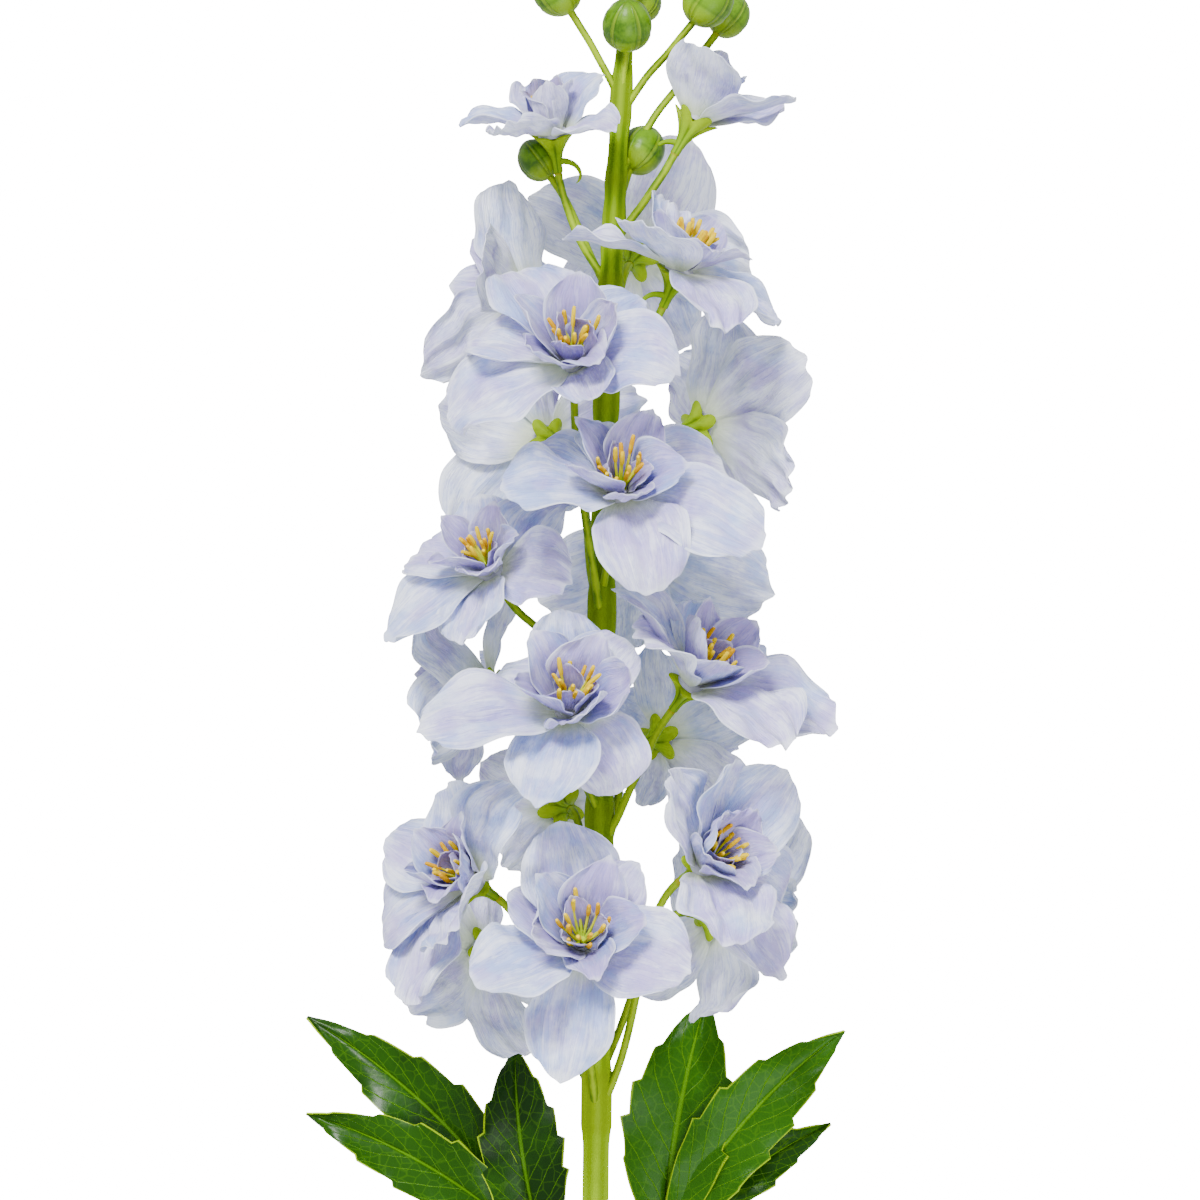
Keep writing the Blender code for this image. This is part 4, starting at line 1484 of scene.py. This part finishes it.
    def fill(self) -> None:
        """Adds the core and the petals."""
        self.core()
        for order, petal in enumerate(self.petals()):
            ruffle = Ruffle.drawn(self.draw, petal.level, petal.length)
            grid, across, up = self.sheet(petal, ruffle, order)
            thin = (1 - np.abs(across) ** 3) * (1 - np.clip(up, 0, 1) ** 6)
            thickness = self.rim + (self.thickness - self.rim) * thin
            self.blade(grid, thickness, across, up, petal.level / 2)


@dataclass
class StamenTuft(BloomPart):
    """The hub and stamens in the middle of one bloom."""

    title = "tuft"
    node = "stamens"
    slot = Slot.STAMEN
    seed = 900
    count: int = 13
    spread: float = 30.0
    hub: float = 0.0017
    filament: float = 0.00048
    anther: float = 0.00074
    core_height: float = 0.0028
    seat_gap: float = 0.0003

    def foot(self) -> float:
        """Gives how far in front of the bloom's middle the hub stands."""
        return self.core_height + 2 * self.seat_gap

    def dome(self) -> None:
        """Adds the hub."""
        turn = np.linspace(0.0, 1.45, 6)[:, None]
        heights = self.foot() + self.hub * np.sin(turn)
        self.shell(self.bloom.rings(heights, self.hub * np.cos(turn), 14), {Mark.UP: 0.15})

    def stamen(self, share: float) -> None:
        """Adds one stamen: a bent filament that ends in an anther.

        Args:
            share: The stamen's place round the hub, from 0 to 1.
        """
        draw = self.draw
        normal, ahead, left = self.bloom.axes()
        bearing = FULL_TURN * (share + draw.uniform(-0.03, 0.03))
        out = math.cos(bearing) * ahead + math.sin(bearing) * left
        lean = math.radians(self.spread * draw.uniform(0.25, 1.0))
        axis = math.cos(lean) * normal + math.sin(lean) * out
        length = 0.38 * self.bloom.petal * draw.uniform(0.80, 1.12)
        root = self.bloom.front(self.foot() + 0.35 * self.hub) + 0.55 * self.hub * out
        bend = draw.uniform(-0.10, 0.16) * length * out
        side = draw.uniform(-0.08, 0.08) * length * np.cross(normal, out)
        low, high, end = (root + part * length * axis for part in (0.35, 0.7, 1.0))
        controls = np.array((root, low + bend, high + bend + side, end + side))
        steps = np.array((0, 0.2, 0.36, 0.48, 0.58, 0.62, 0.68, 0.79, 0.90, 0.98, 1.0))
        places = (0, 0.58, 0.62, 0.68, 0.88, 0.97, 1.0)
        swell = np.interp(steps, places, (0, 0, 0.6, 0.95, 1, 0.7, 0.25))
        radii = self.filament * (1 - 0.25 * steps) * (1 - swell) + self.anther * swell
        rings = swept(bezier(controls, steps), radii * draw.uniform(0.85, 1.1), 7)
        self.shell(rings, {Mark.UP: steps[:, None], Mark.TONE: self.shade()})

    def fill(self) -> None:
        """Adds the hub and the stamens."""
        self.dome()
        for i in range(self.count):
            self.stamen(i / self.count)


@dataclass
class MainStem(Assembly):
    """The ridged main stem, swollen where each stalk leaves it."""

    title = "main_stem"
    rings: int = 220
    sides: int = 48
    ridges: int = 6
    ridge_depth: float = 0.035
    swell: float = 0.00055
    swell_length: float = 0.0042

    def fill(self) -> None:
        """Adds the stem."""
        y = np.linspace(LINE.cut_end, LINE.tip, self.rings)[:, None]
        angle = corners(self.sides)
        roots = np.array([shoot.along - shoot.drop for shoot in (*BLOOMS.values(), *ALL_BUDS)])
        apart = (y - roots) / self.swell_length
        joints = np.clip(np.exp(-(apart**2)).sum(axis=1, keepdims=True), 0, 1.3)
        wave = np.cos(self.ridges * angle + 0.25 * np.sin(y * 37.0))
        radii = LINE.radius(y) * (1 + self.ridge_depth * wave) + self.swell * joints
        marks = {
            Mark.UP: 40 * y,
            Mark.ACROSS: wave,
            Mark.TONE: np.cos(angle),
            Mark.LAYER: 0.6 * joints,
        }
        pith = {Mark.LAYER: (2.0, 0.0)}
        self.shell(swept(LINE.points(y[:, 0]), radii, self.sides), marks, pith)


@dataclass
class Stalks(Assembly):
    """The stalks of the blooms and buds."""

    title = "stalks"
    seed = 31
    radius: float = 0.0012
    bud_radius: float = 0.00115
    root_swell: float = 0.9
    sides: int = 10
    steps: int = 26

    def stalk(self, controls: Array, radius: float) -> None:
        """Adds one stalk.

        Args:
            controls: Its cubic curve.
            radius: Its usual radius.
        """
        share = np.linspace(0, 1, self.steps)
        path = bezier(controls, share)
        reach = np.linalg.norm(controls[3] - controls[0])
        waver = np.sin(math.pi * share)[:, None] * 0.012 * reach
        sway = np.array([[self.shade() for _ in range(3)] for _ in range(2)])
        once, twice = ripple(share[:, None]), ripple(2 * share[:, None])
        path = path + waver * (once * sway[0] + twice * sway[1]) * 0.5
        swell = 1 + self.root_swell * np.exp(-share / 0.05)
        swell = swell + 0.22 * np.exp(-(((share - 0.975) / 0.012) ** 2))
        angle = corners(self.sides)
        section = 1 + 0.07 * np.cos(3 * angle + self.draw.uniform(0, 6))
        rings = swept(path, radius * swell[:, None] * section, self.sides)
        marks = {Mark.UP: share[:, None], Mark.ACROSS: np.cos(2 * angle), Mark.TONE: self.shade()}
        self.shell(rings, marks)

    def fill(self) -> None:
        """Adds every stalk."""
        for bloom in BLOOMS.values():
            self.stalk(bloom.stalk(), self.radius)
        for bud in ALL_BUDS:
            self.stalk(bud.stalk(), self.bud_radius)


@dataclass
class Calyxes(Assembly):
    """The green necks behind the blooms, each with five round lobes."""

    title = "calyxes"
    seed = 57
    neck: float = 0.00145
    notch: float = 0.0040
    reach: float = 0.0078
    lobes: int = 5
    sides: int = 60
    wall: float = 0.0007

    def calyx(self, bloom: Bloom) -> None:
        """Adds one calyx.

        Args:
            bloom: The bloom that it carries.
        """
        turn = self.draw.uniform(0, FULL_TURN)
        lobe = (0.5 + 0.5 * np.cos(self.lobes * corners(self.sides) + turn)) ** 0.75
        edge = self.notch + (self.reach - self.notch) * lobe
        lean = 0.7 * min(bloom.gape, 30) + 0.9 * max(bloom.gape - 30, 0)
        rise = (edge - self.notch) * math.tan(math.radians(lean))
        share = np.array(((0.0, 0.12, 0.26, 0.42, 0.56, 0.68, 0.79, 0.88, 0.95, 1.0),)).T
        flare = share**2.6
        radii = self.neck + (edge - self.neck) * flare
        radii = radii * (1 + 0.10 * (lobe - 0.5) * (1 - flare) * np.minimum(1, 4 * share))
        heights = bloom.neck * (0.20 * share + 0.80 * share**0.75 - 1) + rise * flare - self.wall
        inset = np.array(((0.97, 0.90, 0.62, 0.25),)).T
        lift = np.array(((0.35, 0.62, 0.45, 0.20),)).T
        radii = np.concatenate((radii, edge * inset))
        heights = np.concatenate((heights, rise * inset + self.wall * (lift - 1)))
        marks = {
            Mark.UP: np.concatenate((share, np.ones_like(inset))),
            Mark.ACROSS: 2 * lobe - 1,
            Mark.TONE: self.shade(),
        }
        self.shell(bloom.rings(heights, radii, self.sides), marks)

    def fill(self) -> None:
        """Adds every calyx."""
        for bloom in BLOOMS.values():
            self.calyx(bloom)


@dataclass
class Bracts(Assembly):
    """Small bracts that curl away from the necks of the top blooms."""

    title = "bracts"
    bearings: tuple[tuple[str, float], ...] = (
        ("bloom_01", 255), ("bloom_02", 60), ("bloom_03", 110)
    )
    length: float = 0.0125
    width: float = 0.0011

    def fill(self) -> None:
        """Adds the bracts."""
        share = np.linspace(0, 1, 22)
        turn = 2.6 * share**1.6
        run = np.cumsum(np.cos(turn)) / len(share) * self.length
        fall = np.cumsum(np.sin(turn)) / len(share) * self.length
        radii = self.width * (1 - 0.72 * share) * np.minimum(1, 6 * (1.04 - share))
        for name, bearing in self.bearings:
            bloom = BLOOMS[name]
            normal, ahead, left = bloom.axes()
            out = spokes(np.radians([bearing]), ahead, left)
            path = bloom.front(-0.75 * bloom.neck) + run[:, None] * out - fall[:, None] * normal
            self.shell(swept(path, radii, 8), {Mark.UP: share[:, None]})


@dataclass
class Buds(Assembly):
    """The closed buds, each of five sepals held tight, with a crease round the middle."""

    title = "buds"
    seed = 83
    sides: int = 40
    rings: int = 26
    seam: float = 0.05
    crease: float = 0.03

    def bud(self, bud: Bud) -> None:
        """Adds one bud.

        Args:
            bud: Its place and size.
        """
        axis = bud.axis()
        right = unit(np.cross(axis, TO_SKY))
        top = np.cross(right, axis)
        turn = np.linspace(0.10, math.pi - 0.05, self.rings)[:, None]
        angle = corners(self.sides)
        level = -np.cos(turn)
        up = 0.5 + 0.5 * level
        height = bud.size / 2 * np.where(level > 0, 1.22 * level, 1.05 * level)
        seams = np.cos(5 * angle + self.draw.uniform(0, 6))
        width = np.sin(turn) * (1 - self.crease * np.exp(-(((up - 0.44) / 0.045) ** 2)))
        width = width * np.where(level > 0.6, 1 - 0.25 * (level - 0.6), 1)
        grip = (1 - eased(up, 0.86, 1.0)) * eased(up, 0.0, 0.12)
        dent = 1 - self.seam * np.clip(-seams - 0.55, 0, 1) / 0.45 * grip
        radius = bud.size / 2 * width * dent * (1 + 0.015 * seams)
        ring = radius[..., None] * spokes(angle, top, right)
        rings = bud.centre() + height[..., None] * axis + ring
        marks = {Mark.UP: up, Mark.ACROSS: seams[::-1], Mark.TONE: self.shade()}
        self.shell(rings[:, ::-1], marks)

    def fill(self) -> None:
        """Adds every bud."""
        for bud in ALL_BUDS:
            self.bud(bud)


@dataclass(frozen=True)
class Lobe:
    """One lobe of a leaf: its bearing, size, rise at the tip and how far it bows sideways."""

    bearing: float
    length: float
    width: float
    rise: float
    bow: float


@dataclass
class CutLeaf(Assembly):
    """A leaf of three toothed lobes on a short petiole beside the stem."""

    slot = Slot.LEAF
    seed = 211
    name: str
    along: float
    side: int
    base_x: float
    base_z: float
    lobes: tuple[Lobe, ...]
    rows: int = 64
    columns: int = 17
    thickness: float = 0.00055
    arch: float = 0.004
    fold: float = 0.18
    petiole: float = 0.0017
    teeth: float = 6.5
    tooth: float = 0.17

    def __post_init__(self) -> None:
        """Names the leaf and finds the point that its lobes spring from."""
        self.node = self.name
        self.title = self.name + "_blade"
        self.seed += self.side
        self.base = np.array((self.base_x, self.along + 0.004, self.base_z))
        super().__post_init__()

    def lobe(self, lobe: Lobe) -> None:
        """Adds one lobe.

        Args:
            lobe: Its bearing and size.
        """
        draw = self.draw
        b = math.radians(lobe.bearing)
        out = np.array((math.cos(b), math.sin(b), 0.0))
        side = np.cross(TO_SKY, out)
        up, across = np.meshgrid(
            np.linspace(0, 1, self.rows), np.linspace(-1, 1, self.columns), indexing="ij"
        )
        swelling = np.sin(math.pi * np.clip(up, 0, 1) ** 0.98) ** 0.92
        broad = np.maximum(0.10 * (1 - up) + 0.02, swelling)
        start = np.where(across > 0, draw.random(), draw.random())
        notch = (self.teeth * up**1.1 + start) % 1
        shown = eased(up, 0.28, 0.45) * (1 - eased(up, 0.93, 0.99)) * np.abs(across) ** 6
        half = lobe.width * across * broad * (1 + self.tooth * (notch**1.5 - 0.55) * shown)
        bowed = half + lobe.bow * lobe.length * 4 * up * (1 - up)
        veins = np.abs((9.0 * up - 2.6 * np.abs(across)) % 1 - 0.5)
        relief = 0.00016 * np.exp(-((veins / 0.09) ** 2)) * eased(np.abs(across), 0.02, 0.2)
        relief = relief - 0.0006 * np.exp(-((across / 0.07) ** 2)) * (1 - 0.6 * up)
        wave = 0.0019 * across**2 * np.sin(FULL_TURN * (2.3 * up + draw.random()) + across)
        rise = lobe.rise * up**1.5 + self.arch * np.sin(math.pi * up)
        rise = rise + self.fold * np.abs(half) + relief + wave
        plan = (lobe.length * up)[..., None] * out + bowed[..., None] * side
        grid = self.base + plan + rise[..., None] * TO_SKY
        self.blade(grid, np.full(up.shape, self.thickness), across, up)

    def fill(self) -> None:
        """Adds the petiole and the lobes."""
        aside = np.array((self.side, 0.0, 0.0))
        root = LINE.points(self.along - 0.020) + (LINE.radius_low - 0.0006) * aside
        leave = root + 0.0040 * aside + 0.008 * TO_TIP
        base = self.base
        controls = np.array((root, leave, base - 0.008 * TO_TIP, base + 0.004 * TO_TIP))
        share = np.linspace(0, 1, 24)
        radii = self.petiole * (1.12 - 0.30 * share) * np.minimum(1, 8 * (1.05 - share))
        marks = {Mark.LAYER: 1.0, Mark.ACROSS: 0.5, Mark.UP: 0.5}
        self.shell(swept(bezier(controls, share), radii, 14), marks)
        for lobe in self.lobes:
            self.lobe(lobe)


LEFT_LEAF = CutLeaf(
    "leaf_left", -0.205, -1, -0.016, 0.0205,
    (
        Lobe(135.0, 0.104, 0.0120, -0.010, -0.07),
        Lobe(148.5, 0.086, 0.0110, 0.002, -0.07),
        Lobe(98.5, 0.066, 0.0130, 0.002, 0.04),
    ),
)
RIGHT_LEAF = CutLeaf(
    "leaf_right", -0.202, 1, 0.019, 0.0200,
    (
        Lobe(50.5, 0.087, 0.0125, 0.003, 0.07),
        Lobe(36.5, 0.064, 0.0080, -0.009, 0.06),
        Lobe(80.0, 0.078, 0.0165, -0.005, 0.03),
    ),
)


@dataclass(frozen=True)
class Lamp:
    """A soft square light: where it stands, where it aims, its side and its power."""

    name: str
    place: tuple[float, float, float]
    aim: tuple[float, float, float]
    side: float
    watts: float
    colour: Colour = (1.0, 1.0, 1.0)

    def hang(self) -> None:
        """Hangs the light and turns it to its aim."""
        data = bpy.data.lights.new(self.name, "AREA")
        data.shape = "SQUARE"
        data.size = self.side
        data.energy = self.watts
        data.color = self.colour
        light = placed(self.name, data)
        light.location = self.place
        back = np.array(self.place) - np.array(self.aim)
        yaw = math.atan2(back[1], back[0]) + math.pi / 2
        pitch = math.acos(back[2] / np.linalg.norm(back))
        light.rotation_euler = (pitch, 0.0, yaw)


@dataclass
class Studio:
    """The white paper, the soft lights and the camera overhead."""

    target: tuple[float, float, float] = (0.0076, 0.0328, 0.051)
    distance: float = 2.2
    lens: float = 220.0
    floor_size: float = 3.0
    floor_height: float = -0.0004
    ambient: float = 1.19
    lamps: tuple[Lamp, ...] = (
        Lamp("key", (-0.70, 2.0, 2.4), (0.0, 0.0, 0.05), 0.9, 196.0),
        Lamp("fill", (0.55, -0.75, 1.40), (0.0, -0.10, 0.05), 1.1, 17.0, (0.96, 0.98, 1.0)),
    )

    def floor(self, finish: bpy.types.Material) -> None:
        """Lays the paper, as part of the stage.

        Args:
            finish: The paper's material.
        """
        half = self.floor_size / 2
        signs = ((-1, -1), (1, -1), (1, 1), (-1, 1))
        mesh = bpy.data.meshes.new("studio_floor")
        square = [(x * half, y * half, self.floor_height) for x, y in signs]
        mesh.from_pydata(square, [], [(0, 1, 2, 3)])
        mesh.materials.append(finish)
        floor = placed("studio_floor", mesh)
        floor.visible_diffuse = False
        floor.visible_glossy = False

    def sky(self) -> None:
        """Sets an even white light all round."""
        world = bpy.data.worlds.new("studio_air")
        world.use_nodes = True
        nodes = Nodes(world.node_tree)
        sockets = {"Color": (0.93, 0.96, 1.0), "Strength": self.ambient}
        air = nodes.node("ShaderNodeBackground", None, sockets)
        nodes.node("ShaderNodeOutputWorld", None, {"Surface": air.outputs[0]})
        bpy.context.scene.world = world

    def camera(self) -> None:
        """Sets the camera above the blooms, looking straight down."""
        data = bpy.data.cameras.new("overhead")
        data.lens = self.lens
        data.sensor_width = 36.0
        data.clip_end = 20.0
        camera = placed("overhead", data)
        x, y, z = self.target
        camera.location = (x, y, z + self.distance)
        bpy.context.scene.camera = camera

    def build(self, finish: bpy.types.Material) -> None:
        """Sets up the whole studio.

        Args:
            finish: The paper's material.
        """
        self.floor(finish)
        for lamp in self.lamps:
            lamp.hang()
        self.sky()
        self.camera()
        log.info("studio: %d lamps", len(self.lamps))


def main() -> None:
    """Builds the spike from the stem to the petals, and the studio round it."""
    logging.basicConfig(level=logging.INFO, format="%(name)s: %(message)s")
    MainStem().build(StemFinish().material())
    Stalks().build(StalkFinish().material())
    calyx_green = CalyxFinish().material()
    Calyxes().build(calyx_green)
    Bracts().build(calyx_green)
    Buds().build(BudFinish().material())
    # The left leaf's darker copy of the leaf finish is painted shade, where the key light falls
    # brighter.
    shaded_leaf = {"green": paint(25, 63, 0), "deep": paint(11, 40, 0), "vein": paint(84, 134, 0)}
    LEFT_LEAF.build(LeafFinish(name="leaf_blade_painted_shade", **shaded_leaf).material())
    RIGHT_LEAF.build(LeafFinish().material())
    petal_wash = PetalFinish().material()
    stamen_gold = StamenFinish().material()
    for name in BLOOMS:
        BloomHead(name).build(petal_wash)
        StamenTuft(name).build(stamen_gold)
    Studio().build(FloorFinish().material())


if __name__ == "__main__":
    main()
